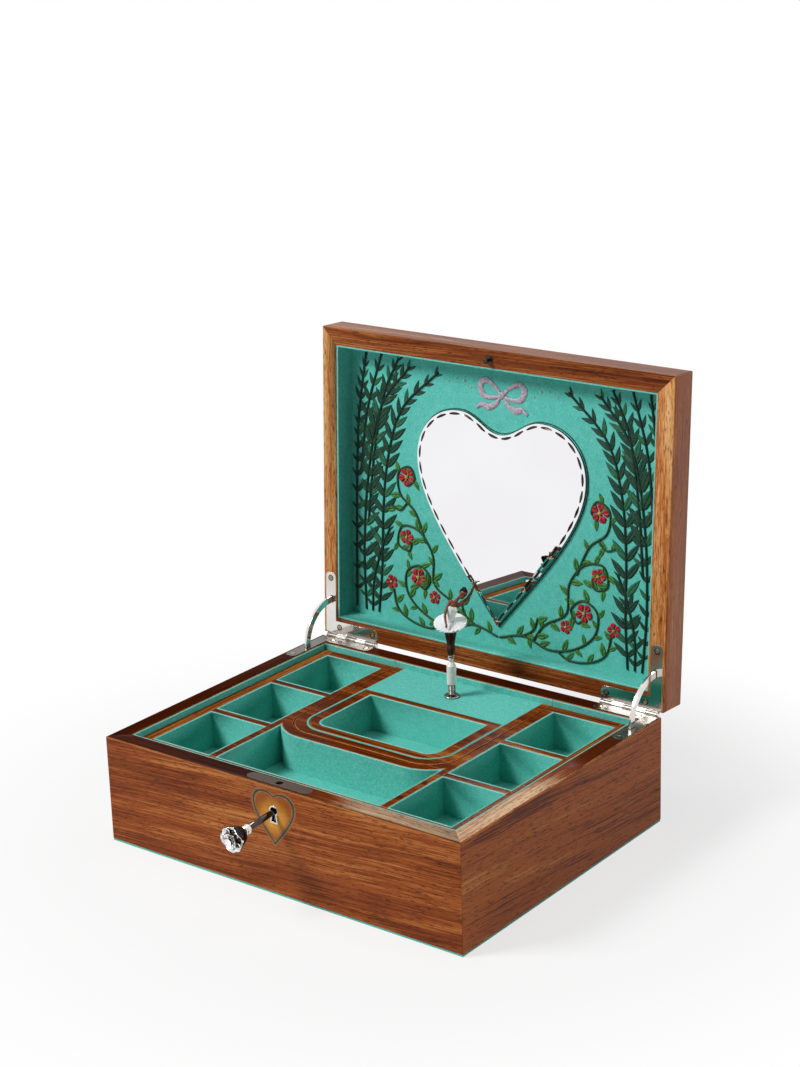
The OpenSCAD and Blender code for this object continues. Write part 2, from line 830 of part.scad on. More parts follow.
// heart mirror, tip towards the hinges, with a bevelled edge on its face
module heart_mirror() {
    bevel_h = mirror_t - 1.6;
    middle = 0.6*mirror_h;
    color([0.85, 0.88, 0.9]) lid_swing() translate([0, hinge_y - mirror_rise - middle, lid_lining_z])
        rotate([0, 180, 0]) {
            linear_extrude(height = mirror_t - bevel_h)
                rotate(180) translate([0, -middle]) heart(mirror_h, true);
            translate([0, 0, mirror_t - bevel_h - eps])
                linear_extrude(height = bevel_h + eps, scale = 1 - 2*mirror_bevel/mirror_h/0.938)
                rotate(180) translate([0, -middle]) heart(mirror_h, true);
        }
}

module catch_stud() {
    color(nickel) lid_swing() translate([0, catch_y, lid_z]) {
        cylinder(r = stud_neck_r + 0.3, h = 8.5);
        cylinder(r = 3.4, h = 0.8);
        translate([0, 0, -stud_drop + 1.4]) cylinder(r = stud_neck_r, h = stud_drop);
        translate([0, 0, -stud_drop]) cylinder(r1 = stud_neck_r, r2 = stud_head_r, h = 0.8);
        translate([0, 0, 0.8 - stud_drop]) cylinder(r = stud_head_r, h = 0.7);
    }
}

// ---------- hinges ----------

// countersunk screw, head level with z = 0, with a cross recess
module wood_screw(l) {
    difference() {
        union() {
            translate([0, 0, -1.2]) cylinder(r1 = screw_r, r2 = screw_head_r, h = 1.2);
            translate([0, 0, -l]) cylinder(r = screw_r, h = l - 0.5);
        }
        for (a = [0, 90]) rotate([0, 0, a]) translate([0, 0, 0]) cube([2.2, 0.5, 1.2], center = true);
    }
}

module countersink(l) {
    translate([0, 0, -1.25])
        cylinder(r1 = screw_r + screw_play, r2 = screw_head_r + screw_play + 0.02, h = 1.26);
    translate([0, 0, -l]) cylinder(r = screw_r + screw_play, h = l);
}

module knuckle(i) {
    translate([barrel_x + i*knuckle_l, hinge_y, hinge_z]) rotate([0, 90, 0])
        cylinder(r = knuckle_r, h = knuckle_l - knuckle_gap);
}

// one leaf for the right-hand side: plate from z up, knuckles as listed, screw heads facing the gap
module hinge_leaf(z, list, up) {
    difference() {
        union() {
            slab(z, leaf_t) leaf_outline();
            for (i = list) {
                knuckle(i);
                translate([barrel_x + i*knuckle_l, leaf_back_y - 1, z])
                    cube([knuckle_l - knuckle_gap, knuckle_r + 1.5, leaf_t]);
            }
        }
        translate([barrel_x - 1, hinge_y, hinge_z]) rotate([0, 90, 0])
            cylinder(r = hinge_pin_r + pin_play, h = barrel_l + 2);
        slab(z - 1, leaf_t + 2) arm_slot_2d(arm_fit);
        for (p = screw_at) translate([p[0], p[1], up ? z + leaf_t : z])
            rotate([up ? 0 : 180, 0, 0]) countersink(screw_l);
    }
}

module base_hinge_leaves() {
    color(nickel) pair() hinge_leaf(base_h - leaf_t, [0:2:knuckles - 1], true);
}

module lid_hinge_leaves() {
    color(nickel) lid_swing() pair() hinge_leaf(lid_z, [1:2:knuckles - 1], false);
}

module hinge_pins() {
    color(nickel) pair() translate([barrel_x, hinge_y, hinge_z]) rotate([0, 90, 0]) {
        translate([0, 0, -0.4]) cylinder(r = hinge_pin_r, h = barrel_l + 0.6);
        translate([0, 0, -0.8]) cylinder(r1 = 1.5, r2 = 1.9, h = 0.7);
        translate([0, 0, barrel_l - knuckle_gap + 0.1]) cylinder(r1 = 1.9, r2 = 1.5, h = 0.7);
    }
}

module base_hinge_screws() {
    color(nickel) pair() for (p = screw_at) translate([p[0], p[1], base_h]) wood_screw(screw_l);
}

module lid_hinge_screws() {
    color(nickel) lid_swing() pair() for (p = screw_at)
        translate([p[0], p[1], lid_z]) rotate([180, 0, 0]) wood_screw(screw_l);
}

// curved stays that slide through both leaves
module stay_arms() {
    color(nickel) pair() arm_sector(arm_in, arm_out, arm_t, -arm_tuck, lid_open + arm_tuck);
}

// ---------- lock ----------

module lock_plate() {
    color([0.33, 0.33, 0.34]) slab(base_h - plate_t, plate_t) difference() {
        plate_outline(0);
        translate([0, catch_y]) circle(r = stud_head_r + 0.6);
    }
}

module lock_case() {
    color(steel) difference() {
        translate([-mortise_x, case_y, case_z]) cube([2*mortise_x, case_t, case_top - case_z]);
        translate([case_wall - mortise_x, case_y + case_wall, case_z + case_wall])
            cube([2*(mortise_x - case_wall), case_t - 2*case_wall, base_h]);
        translate([0, case_y + 2, key_z]) rotate([90, 0, 0]) cylinder(r = shank_r + 0.5, h = 3);
        translate([-1.4, case_y - 1, key_z - 8]) cube([2.8, case_wall + 1.5, 8]);
        translate([0, case_y + case_t + 1, key_z]) rotate([90, 0, 0])
            cylinder(r = shank_r + 0.75, h = 2.5);
    }
}

// sliding bolt: the stud's head passes its round hole, the narrow slot grips the neck
module lock_bolt() {
    w = case_t - 2*case_wall - 0.4;
    tail_x = 7.8;
    color(steel) difference() {
        union() {
            translate([-14, catch_y - w/2, bolt_z]) cube([28, w, bolt_t]);
            translate([tail_x, catch_y - w/2, key_z - 1]) cube([2, w, bolt_z - key_z + 1.5]);
        }
        translate([0, catch_y, bolt_z - 1]) cylinder(r = stud_head_r + 0.4, h = bolt_t + 2);
        translate([-bolt_travel - 1.5, catch_y - stud_neck_r - 0.3, bolt_z - 1])
            cube([bolt_travel + 1.5, 2*stud_neck_r + 0.6, bolt_t + 2]);
    }
}

module escutcheon() {
    color(nickel) translate([0, -box_d/2 - 0.3, 0]) on_case() difference() {
        keyhole(0);
        keyhole(-keyhole_wall);
    }
}

// ring depth from just proud of the front face to the lock case
module on_case() {
    depth = case_y + box_d/2 + 0.3;
    translate([0, depth, key_z]) rotate([90, 0, 0]) linear_extrude(height = depth) children();
}

module heart_inlay() {
    color(gold) on_front(inlay_t, 0) difference() {
        inlay_heart(string_w);
        keyhole(0.02);
    }
}

module heart_stringing() {
    color([0.12, 0.1, 0.08]) on_front(inlay_t, 0) difference() {
        inlay_heart(0);
        inlay_heart(string_w);
    }
}

// places children on the key's own axis, which runs along -Y and droops a little
module on_key() {
    translate([0, key_pivot_y, key_z]) rotate([90 + key_droop, 0, 0]) children();
}

module key() {
    collar = key_out - bow_r - 5;
    color(nickel) on_key() {
        translate([0, 0, -key_in]) cylinder(r = shank_r, h = key_in + collar + 2);
        translate([0, 0, collar]) cylinder(r1 = shank_r, r2 = shank_r + 1.3, h = 1.4);
        translate([0, 0, collar + 1.4]) cylinder(r = shank_r + 1.3, h = 1.2);
        translate([0, 0, collar + 2.6]) cylinder(r1 = shank_r + 1, r2 = shank_r + 2.4, h = 1.6);
        translate([0, 0, collar]) cylinder(r = shank_r, h = bow_r + 3);
        translate([-0.8, -6.5, -4]) cube([1.6, 6.5, 3.4]);
        translate([0, 0, key_out]) rose();
    }
}

// flower bow: a ball of cupped petals in three rings
module rose() {
    k = bow_r/8.8;
    sphere(r = 6.2*k, $fn = 24);
    for (ring = [[5, 5.7, 1.2, 2.9], [5, 3.9, 4.2, 2.4], [3, 1.6, 5.6, 1.9]])
        for (i = [0:ring[0] - 1]) rotate([0, 0, (i + ring[2])*360/ring[0]])
            translate([ring[1]*k, 0, -(3.4 - ring[2])*k]) sphere(r = ring[3]*k, $fn = 14);
}

// ---------- movement ----------

module bed_feet() {
    for (p = foot_at) translate([p[0], p[1], 0]) children();
}

module comb_screw_places() {
    for (x = [comb_x0 + 4, comb_x0 + comb_w - 4])
        translate([x, comb_y1 - 5, cyl_z + comb_t/2]) children();
}

// cast bedplate with its feet and the comb's pedestal
module bedplate() {
    color(gold) difference() {
        union() {
            slab(bed_z, bed_t) translate([foot_left - bed_margin, foot_front - bed_margin])
                square([foot_right - foot_left + 2*bed_margin, foot_back - foot_front + 2*bed_margin]);
            bed_feet() translate([0, 0, floor_z]) cylinder(r = foot_r, h = bed_z - floor_z + eps);
            translate([comb_x0, comb_y1 - comb_foot, bed_top - eps])
                cube([comb_w, comb_foot, cyl_z - comb_t/2 - bed_top + eps]);
        }
        bed_feet() translate([0, 0, bed_top]) countersink(bed_top);
        comb_screw_places() countersink(screw_l);
        translate([0, barrel_y, bed_z - 1]) cylinder(r = arbor_r + shaft_play, h = bed_t + 2);
        translate([0, dancer_y, bed_z - 1]) cylinder(r = spindle_r + shaft_play, h = bed_t + 2);
    }
}

module movement_screws() {
    color(steel) {
        bed_feet() translate([0, 0, bed_top]) wood_screw(screw_l);
        comb_screw_places() wood_screw(screw_l - 1);
    }
}

module tone_comb() {
    color(steel) difference() {
        translate([comb_x0, comb_y0, cyl_z - comb_t/2]) cube([comb_w, comb_y1 - comb_y0, comb_t]);
        for (i = [1:comb_teeth - 1]) translate([comb_x0 + i*comb_pitch - 0.18, comb_y0 - 1, cyl_z - 2])
            cube([0.36, comb_slot_l*(0.65 + 0.35*i/comb_teeth) + 1, 4]);
        comb_screw_places() countersink(screw_l);
    }
}

// two uprights for the cylinder's shaft; the inner one bridges the barrel's rim
module cylinder_brackets() {
    color(gold) difference() {
        for (x = [cyl_x0 - 1.6, cyl_x0 + cyl_l + 0.2]) translate([x, barrel_y - 11, bed_top])
            cube([1.4, 16.5, cyl_z + 3.4 - bed_top]);
        translate([0, barrel_y, cyl_z]) rotate([0, 90, 0])
            cylinder(r = 1 + shaft_play, h = cyl_x0 + cyl_l + 10);
        translate([cyl_x0 - 3, barrel_y - 8, bed_top - 1]) cube([4, 20, gear_t + 2.6]);
    }
}

module governor() {
    x = cyl_x0 + cyl_l + 3.2;
    color(steel) difference() {
        translate([x, barrel_y - 14, bed_top]) cube([6, 24, cyl_z + 0.2 - bed_top]);
        translate([x + 3, barrel_y + 4, cyl_z - 4.8]) cylinder(r = 2.2, h = 6);
    }
}

module spring_barrel() {
    pitch = 2*PI*crown_r/crown_teeth;
    color(gold) translate([0, barrel_y, 0]) difference() {
        union() {
            translate([0, 0, wheel_z]) toothed(barrel_teeth, gear_m, gear_t, 1);
            translate([0, 0, bed_top + 0.05]) cylinder(r = 4, h = 2);
            translate([0, 0, drum_z - eps]) cylinder(r = crown_r + 1.1, h = drum_h + eps);
            for (i = [0:crown_teeth - 1]) rotate([0, 0, i*360/crown_teeth])
                translate([crown_r - 1, 0, drum_top]) rotate([90, 0, 90]) linear_extrude(height = 2)
                    polygon([[-0.29*pitch, -0.1], [0.29*pitch, -0.1], [0.09*pitch, crown_tooth],
                             [-0.09*pitch, crown_tooth]]);
        }
        translate([0, 0, bed_top - 1]) cylinder(r = arbor_r + shaft_play, h = drum_h + 10);
    }
}

// butterfly key under the box, with the barrel's arbor
module winding_key() {
    wing_h = bed_z - 1.4 - key_hub_z;
    color(nickel) translate([0, barrel_y, 0]) {
        translate([0, 0, key_hub_z]) cylinder(r = arbor_r, h = drum_top + 1.5 - key_hub_z);
        translate([0, 0, key_hub_z]) cylinder(r = 3.2, h = bed_z - 0.3 - key_hub_z);
        for (s = [-1, 1]) translate([s*7.6, 1, key_hub_z + wing_h/2]) rotate([90, 0, 0])
            linear_extrude(height = 2) difference() {
                square([9, wing_h], center = true);
                for (a = [-1, 1]) translate([s*4.5, a*wing_h/2]) rotate(45) square(2.2, center = true);
            }
    }
}

module pinned_cylinder() {
    pins = 3;
    color(gold) translate([0, barrel_y, cyl_z]) rotate([0, 90, 0]) {
        translate([0, 0, cyl_x0 - 5.2]) cylinder(r = 1, h = cyl_l + 8);
        translate([0, 0, crown_r - 1]) rotate([0, 0, 180/pinion_teeth])
            toothed(pinion_teeth, crown_m, 2, 0.5);
        translate([0, 0, cyl_x0]) cylinder(r = cyl_r, h = cyl_l);
        for (i = [0:comb_teeth - 1], k = [0:pins - 1])
            rotate([0, 0, 360/pins*k + (i*137) % 120])
            translate([cyl_r - 0.3, 0, cyl_x0 + 1.5 + (i + 0.5)*comb_pitch])
                rotate([0, 90, 0]) cylinder(r = 0.25, h = 0.9, $fn = 8);
    }
}

module dancer_spindle() {
    color(nickel) translate([0, dancer_y, 0]) {
        translate([0, 0, bed_z]) cylinder(r = spindle_r, h = panel_top + 1 - bed_z);
        translate([0, 0, bed_top + 0.05]) cylinder(r = 2.6, h = 2);
        translate([0, 0, wheel_z]) rotate([0, 0, 180/spindle_teeth])
            toothed(spindle_teeth, gear_m, gear_t, 1);
    }
}

// ---------- dancer ----------

module flange_bush() {
    color(nickel) translate([0, dancer_y, 0]) difference() {
        union() {
            translate([0, 0, panel_top]) cylinder(r = flange_r, h = flange_t - 0.4);
            translate([0, 0, panel_top + flange_t - 0.4])
                cylinder(r1 = flange_r, r2 = flange_r - 0.6, h = 0.4);
            translate([0, 0, panel_z - 1]) cylinder(r = spindle_r + 1.1, h = panel_top - panel_z + 1.2);
        }
        translate([0, 0, panel_z - 2])
            cylinder(r = spindle_r + shaft_play, h = panel_top - panel_z + 10);
    }
}

// close-wound coil
module dancer_spring() {
    z0 = panel_top + flange_t;
    h = post_z - z0;
    turns = round(h/(1.9*spring_wire));
    pitch = (h - 2*spring_wire)/(turns - 1);
    color(nickel) translate([0, dancer_y, z0]) rotate_extrude() {
        for (i = [0:turns - 1]) translate([spring_r - spring_wire, spring_wire + i*pitch])
            circle(r = spring_wire, $fn = 16);
        translate([spring_r - spring_wire - 0.15, spring_wire/2]) square([0.3, h - spring_wire]);
    }
}

module on_dancer(z) {
    translate([0, dancer_y, z]) rotate([0, 0, figure_turn]) children();
}

module dancer_post() {
    color("white") on_dancer(post_z) {
        cylinder(r = post_r, h = post_h);
        translate([0, 0, post_h]) cylinder(r1 = post_r, r2 = 1.6, h = toe_z - post_z - post_h);
    }
}

// limb through a list of [x, y, z, radius] stations
module limb(p) {
    for (i = [0:len(p) - 2]) hull() for (q = [p[i], p[i + 1]])
        translate([q[0], q[1], q[2]]) sphere(r = q[3], $fn = 16);
}

module dancer_figure() {
    color([0.45, 0.27, 0.18]) on_dancer(toe_z) scale(figure_h/61) {
        for (s = [-1, 1]) limb([[s*0.9, s*0.5, 0.8, 0.8], [s*1, s*0.5, 4.5, 1], [s*1.4, 0, 11, 1.7],
                                [s*1.6, 0, 15, 1.5], [s*2, 0, 25, 2.3]]);
        limb([[0, 0, 28, 3.6], [0, 0, 35, 2.9], [1, 0, 42, 3.4]]);
        limb([[2.2, 0, 44.5, 1.8], [4.6, 0, 47.8, 1.2], [7.2, 0, 52, 1.5]]);
        translate([8.2, 0, 54]) scale([0.95, 1, 1.2]) sphere(r = 3.2, $fn = 20);
        translate([9.6, 1.4, 57.2]) sphere(r = 1.9, $fn = 16);
        limb([[-2.6, -0.6, 44, 1.2], [-5.4, -4.6, 38, 0.95], [-4.2, -9.3, 30.2, 0.7]]);
        limb([[4, 0.4, 44, 1.2], [10.5, 0.6, 46, 0.95], [15.5, 0.8, 53, 0.8], [21, 1, 59.8, 0.55]]);
    }
}

// net skirt with a frilled edge
module dancer_tutu() {
    frills = 16;
    ring = [for (i = [0:4*frills - 1])
        let (a = i*90/frills, r = tutu_r - 0.5 + 0.5*cos(a*frills)) r*[cos(a), sin(a)]];
    color("white") on_dancer(toe_z + 26*figure_h/61) difference() {
        union() {
            linear_extrude(height = 2) polygon(ring);
            translate([0, 0, 2 - eps]) cylinder(r1 = tutu_r - 1.6, r2 = 4.3, h = 6.5);
            translate([0, 0, 8]) cylinder(r1 = 4.3, r2 = 4, h = 3);
        }
        translate([0, 0, -1]) cylinder(r1 = tutu_r - 2, r2 = 4.2, h = 6);
        translate([0, 0, 3]) cylinder(r = 3.9, h = 9);
    }
}

front_wall();
back_wall();
left_wall();
right_wall();
bottom_board();
bottom_felt();
base_lining();
floor_lining();
tray_rails();
housing_frame();
recess_floor();
panel_supports();
movement_panel();
housing_lining();
lock_plate();
lock_case();
lock_bolt();
escutcheon();
heart_inlay();
heart_stringing();
key();
base_hinge_leaves();
hinge_pins();
base_hinge_screws();
stay_arms();
tray_side_walls();
tray_end_walls();
tray_notch_wall();
tray_dividers();
tray_floor();
tray_lining();
centre_tray_frame();
centre_tray_floor();
centre_tray_lining();
lid_front_wall();
lid_back_wall();
lid_left_wall();
lid_right_wall();
lid_board();
lid_veneer();
lid_lining();
heart_mirror();
catch_stud();
lid_hinge_leaves();
lid_hinge_screws();
bedplate();
movement_screws();
tone_comb();
cylinder_brackets();
governor();
spring_barrel();
winding_key();
pinned_cylinder();
dancer_spindle();
flange_bush();
dancer_spring();
dancer_post();
dancer_figure();
dancer_tutu();
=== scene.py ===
"""Looks of a ballerina jewellery box: veneers, suede, hinges, key, heart mirror, lid ornament and dancer."""

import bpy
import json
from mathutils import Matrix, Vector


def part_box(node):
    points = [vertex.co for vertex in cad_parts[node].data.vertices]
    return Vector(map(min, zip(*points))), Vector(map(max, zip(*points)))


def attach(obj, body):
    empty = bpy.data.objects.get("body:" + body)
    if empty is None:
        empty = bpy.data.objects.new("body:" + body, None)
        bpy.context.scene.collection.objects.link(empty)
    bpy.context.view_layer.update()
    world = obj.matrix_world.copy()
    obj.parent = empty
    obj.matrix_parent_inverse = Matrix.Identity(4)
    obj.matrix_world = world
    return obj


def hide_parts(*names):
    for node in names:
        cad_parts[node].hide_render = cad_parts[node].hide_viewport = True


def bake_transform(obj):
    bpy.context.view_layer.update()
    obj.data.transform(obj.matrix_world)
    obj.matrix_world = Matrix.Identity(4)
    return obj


bl_info = {
    "name": "Ballerina jewellery box",
    "version": (1, 0, 0),
    "blender": (4, 5, 0),
    "location": "View3D > Sidebar > Jewellery box",
    "description": "Dresses the jewellery box's frame with its finished pieces and materials",
    "category": "Object",
}

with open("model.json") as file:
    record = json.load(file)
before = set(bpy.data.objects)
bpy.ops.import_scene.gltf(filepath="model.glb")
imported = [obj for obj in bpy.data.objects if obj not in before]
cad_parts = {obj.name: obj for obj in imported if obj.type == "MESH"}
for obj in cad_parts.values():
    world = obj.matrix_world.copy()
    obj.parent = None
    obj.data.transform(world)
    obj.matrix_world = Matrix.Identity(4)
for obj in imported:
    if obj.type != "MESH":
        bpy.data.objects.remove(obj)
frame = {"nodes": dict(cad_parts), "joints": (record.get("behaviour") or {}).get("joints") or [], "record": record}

import json
import math
import random

import bmesh
import bpy
from bpy.props import FloatProperty, IntProperty, PointerProperty, StringProperty
from mathutils import Euler, Matrix, Vector

MM = 0.001
ORIGIN, UP = (0, 0, 0), (0, 0, 1)
SAME = 1e-7  # points of a new shape that lie closer than this are one
MERGE = 2e-6  # corners of a node's loose triangles that lie closer than this are one
FLUSH = 1e-5  # heights that differ by less than this are the same
FLAT = math.radians(0.4)  # faces that turn by less than this are one flat face
CORNER = math.radians(32)  # edges that turn by more than this are real corners


# ---------- places taken from the frame ----------

def joint(name):
    """The record's joint of that name."""
    return next(j for j in frame["joints"] if j["name"] == name)


HINGE = Vector(joint("lid_hinge")["pos_m"])
LID_OPEN = math.radians(joint("lid_hinge")["range_deg"][1])
LINING_FACE = 17.3 * MM  # depth of the lid's lining behind the lid's rim plane
DANCER = Vector((0, joint("dancer_spin")["pos_m"][1], 0))
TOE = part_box("dancer_figure")[0].z
FIGURE_TURN = math.radians(38)  # the raised hand points to the back right
KEY_PIVOT = Vector(joint("key_turn")["pos_m"])
KEY_AXIS = Vector(joint("key_turn")["axis"]).normalized()
# the heart mirror on the lid's lining, in millimetres: its height and its tip's place above the hinge line
MIRROR_TALL, MIRROR_TIP = 155.5, 31.5


def in_lid(x, s, n):
    """World place of a point in the open lid: x across, s up from the hinge line, n behind the rim plane."""
    c, k = math.cos(LID_OPEN), math.sin(LID_OPEN)
    return HINGE + Vector((x, -s * c + n * k, s * k + n * c))


def lid_turn():
    """Turns +X, +Y, +Z into across the lid, up the lid and out of the lid towards the viewer."""
    up = (in_lid(0, 1, 0) - in_lid(0, 0, 0)).normalized()
    out = (in_lid(0, 0, 0) - in_lid(0, 0, 1)).normalized()
    return Matrix((Vector((1, 0, 0)), up, out)).transposed()


def on_figure(x, y, z):
    """World place of a figure point in millimetres: x to the raised hand, -y forward, z up from the toes."""
    c, s = math.cos(FIGURE_TURN), math.sin(FIGURE_TURN)
    return Vector((DANCER.x + (x * c - y * s) * MM, DANCER.y + (x * s + y * c) * MM, TOE + z * MM))


# ---------- small tools ----------

def srgb(text):
    """Linear colour of an sRGB hex value."""
    parts = [int(text[i:i + 2], 16) / 255 for i in (1, 3, 5)]
    return (*[c / 12.92 if c <= 0.04045 else ((c + 0.055) / 1.055) ** 2.4 for c in parts], 1.0)


def add(tree, kind, wires=None, stops=None, **settings):
    """Adds a node; wires gives its inputs as values or as the sockets that feed them."""
    node = tree.nodes.new(kind)
    for key, value in settings.items():
        setattr(node, key, value)
    for key, value in (wires or {}).items():
        if isinstance(value, bpy.types.NodeSocket):
            tree.links.new(value, node.inputs[key])
        else:
            node.inputs[key].default_value = value
    if stops:
        ramp = node.color_ramp.elements
        while len(ramp) < len(stops):
            ramp.new(0.5)
        for element, (place, colour) in zip(ramp, stops):
            element.position = place
            element.color = srgb(colour)
    return node


def blank(name):
    """A new material with its tree, shader and object coordinates."""
    made = bpy.data.materials.new(name)
    made.use_nodes = True
    tree = made.node_tree
    place = add(tree, "ShaderNodeTexCoord").outputs["Object"]
    return made, tree, tree.nodes["Principled BSDF"], place


def in_scene(name, data):
    """A new object of a mesh, lamp or camera, at the origin of the scene."""
    obj = bpy.data.objects.new(name, data)
    bpy.context.scene.collection.objects.link(obj)
    return obj


def shade(mesh, smooth=True):
    """Shades a mesh smooth or flat."""
    mesh.polygons.foreach_set("use_smooth", [smooth] * len(mesh.polygons))


def paint(mesh, *finishes):
    """Gives a mesh its materials, in order."""
    mesh.materials.clear()
    for finish in finishes:
        mesh.materials.append(finish)


def new_mesh(name, verts, faces, finish, smooth=True):
    """An object at the origin made from world points."""
    mesh = bpy.data.meshes.new(name)
    mesh.from_pydata([tuple(v) for v in verts], [], faces)
    bm = bmesh.new()
    bm.from_mesh(mesh)
    bmesh.ops.remove_doubles(bm, verts=bm.verts, dist=SAME)
    bmesh.ops.recalc_face_normals(bm, faces=bm.faces)
    bm.to_mesh(mesh)
    bm.free()
    shade(mesh, smooth)
    mesh.materials.append(finish)
    return in_scene(name, mesh)


def settle(obj):
    """Replaces an object's mesh with what its modifiers make of it."""
    bpy.context.view_layer.update()
    graph = bpy.context.evaluated_depsgraph_get()
    mesh = bpy.data.meshes.new_from_object(obj.evaluated_get(graph), preserve_all_data_layers=True,
                                           depsgraph=graph)
    obj.modifiers.clear()
    obj.data = mesh
    return obj


def joined(name, objects):
    """One object from several at the origin, with their materials kept."""
    bm = bmesh.new()
    finishes = []
    for obj in objects:
        start = len(bm.faces)
        bm.from_mesh(obj.data)
        bm.faces.ensure_lookup_table()
        for face in bm.faces[start:]:
            own = obj.data.materials[face.material_index]
            if own not in finishes:
                finishes.append(own)
            face.material_index = finishes.index(own)
    mesh = bpy.data.meshes.new(name)
    bm.to_mesh(mesh)
    bm.free()
    # paint() would set every face back to the first material
    for finish in finishes:
        mesh.materials.append(finish)
    for obj in objects:
        bpy.data.objects.remove(obj)
    return in_scene(name, mesh)


def mount(obj, body, replaces=()):
    """Lets a finished piece ride its body and stand for its nodes."""
    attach(obj, body)
    if replaces:
        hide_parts(*replaces)
    return obj


def body_of(node):
    """The body that a node of the frame rides."""
    return next(b for b, names in frame["record"]["behaviour"]["bodies"].items() if node in names)


def surface(obj):
    """The area a mesh shows once every face is cut into triangles."""
    obj.data.calc_loop_triangles()
    return sum(each.area for each in obj.data.loop_triangles)


def merged(node, cut, again):
    """A node's loose triangles as whole flat faces.

    cut splits the many-sided ones, and again merges flat ones once more.
    """
    bm = bmesh.new()
    bm.from_mesh(frame["nodes"][node].data)
    bmesh.ops.remove_doubles(bm, verts=bm.verts, dist=MERGE)
    bmesh.ops.dissolve_limit(bm, angle_limit=FLAT, verts=bm.verts, edges=bm.edges)
    if cut:
        bmesh.ops.triangulate(bm, faces=[f for f in bm.faces if len(f.verts) > 4])
    if again:
        bmesh.ops.dissolve_limit(bm, angle_limit=FLAT, verts=bm.verts, edges=bm.edges)
    bm.normal_update()
    return bm


def eased_copy(node, finish, width, segments=2, edge=None, other=None, outward=UP, longer=0.0):
    """A merged copy of a node with its outer edges eased, standing for the node.

    edge is the material of the eased strips and other that of the faces that look outward;
    with longer, only level edges of at least that length are eased. Faces with windows in
    them can fill wrongly once they are merged, which adds area, so each way of cutting them
    is measured and the first true one is kept.
    """
    grown = 1.0003  # the area that easing may add
    faces_out = 0.9  # cosine of how far a face may lean from outward
    plain = surface(frame["nodes"][node])
    for cut, again in ((False, False), (True, True), (True, False)):
        mesh = frame["nodes"][node].data.copy()
        mesh.name = node + "_piece"
        bm = merged(node, cut, again)
        weight = bm.edges.layers.float.new("bevel_weight_edge")
        for each in bm.edges:
            if each.calc_face_angle(0) > CORNER:
                # an inner corner stays crisp, an outer one is rounded
                each.smooth = each.is_convex
                level = abs(each.verts[0].co.z - each.verts[1].co.z) < FLUSH
                chosen = not longer or (level and each.calc_length() >= longer)
                each[weight] = 1.0 if each.is_convex and chosen else 0.0
        for face in bm.faces:
            face.material_index = 1 if other and face.normal.dot(Vector(outward)) > faces_out else 0
        paint(mesh, finish, other or finish, edge or finish)
        bm.to_mesh(mesh)
        bm.free()
        obj = in_scene(node + "_piece", mesh)
        bevel = obj.modifiers.new("Eased edges", "BEVEL")
        bevel.width = width
        bevel.segments = segments
        bevel.limit_method = "WEIGHT"
        bevel.miter_outer = "MITER_ARC"
        bevel.use_clamp_overlap = True
        if edge:
            bevel.material = 2
        settle(obj)
        if surface(obj) < plain * grown:
            break
        bpy.data.objects.remove(obj)
    else:
        raise RuntimeError(node + " can't be eased")
    shade(obj.data)
    weighted = obj.modifiers.new("Flat faces stay flat", "WEIGHTED_NORMAL")
    weighted.keep_sharp = True
    settle(obj)
    return mount(obj, body_of(node), [node])


def finish_node(node, finish):
    """Gives a node of the frame its material."""
    paint(frame["nodes"][node].data, finish)


# ---------- materials ----------

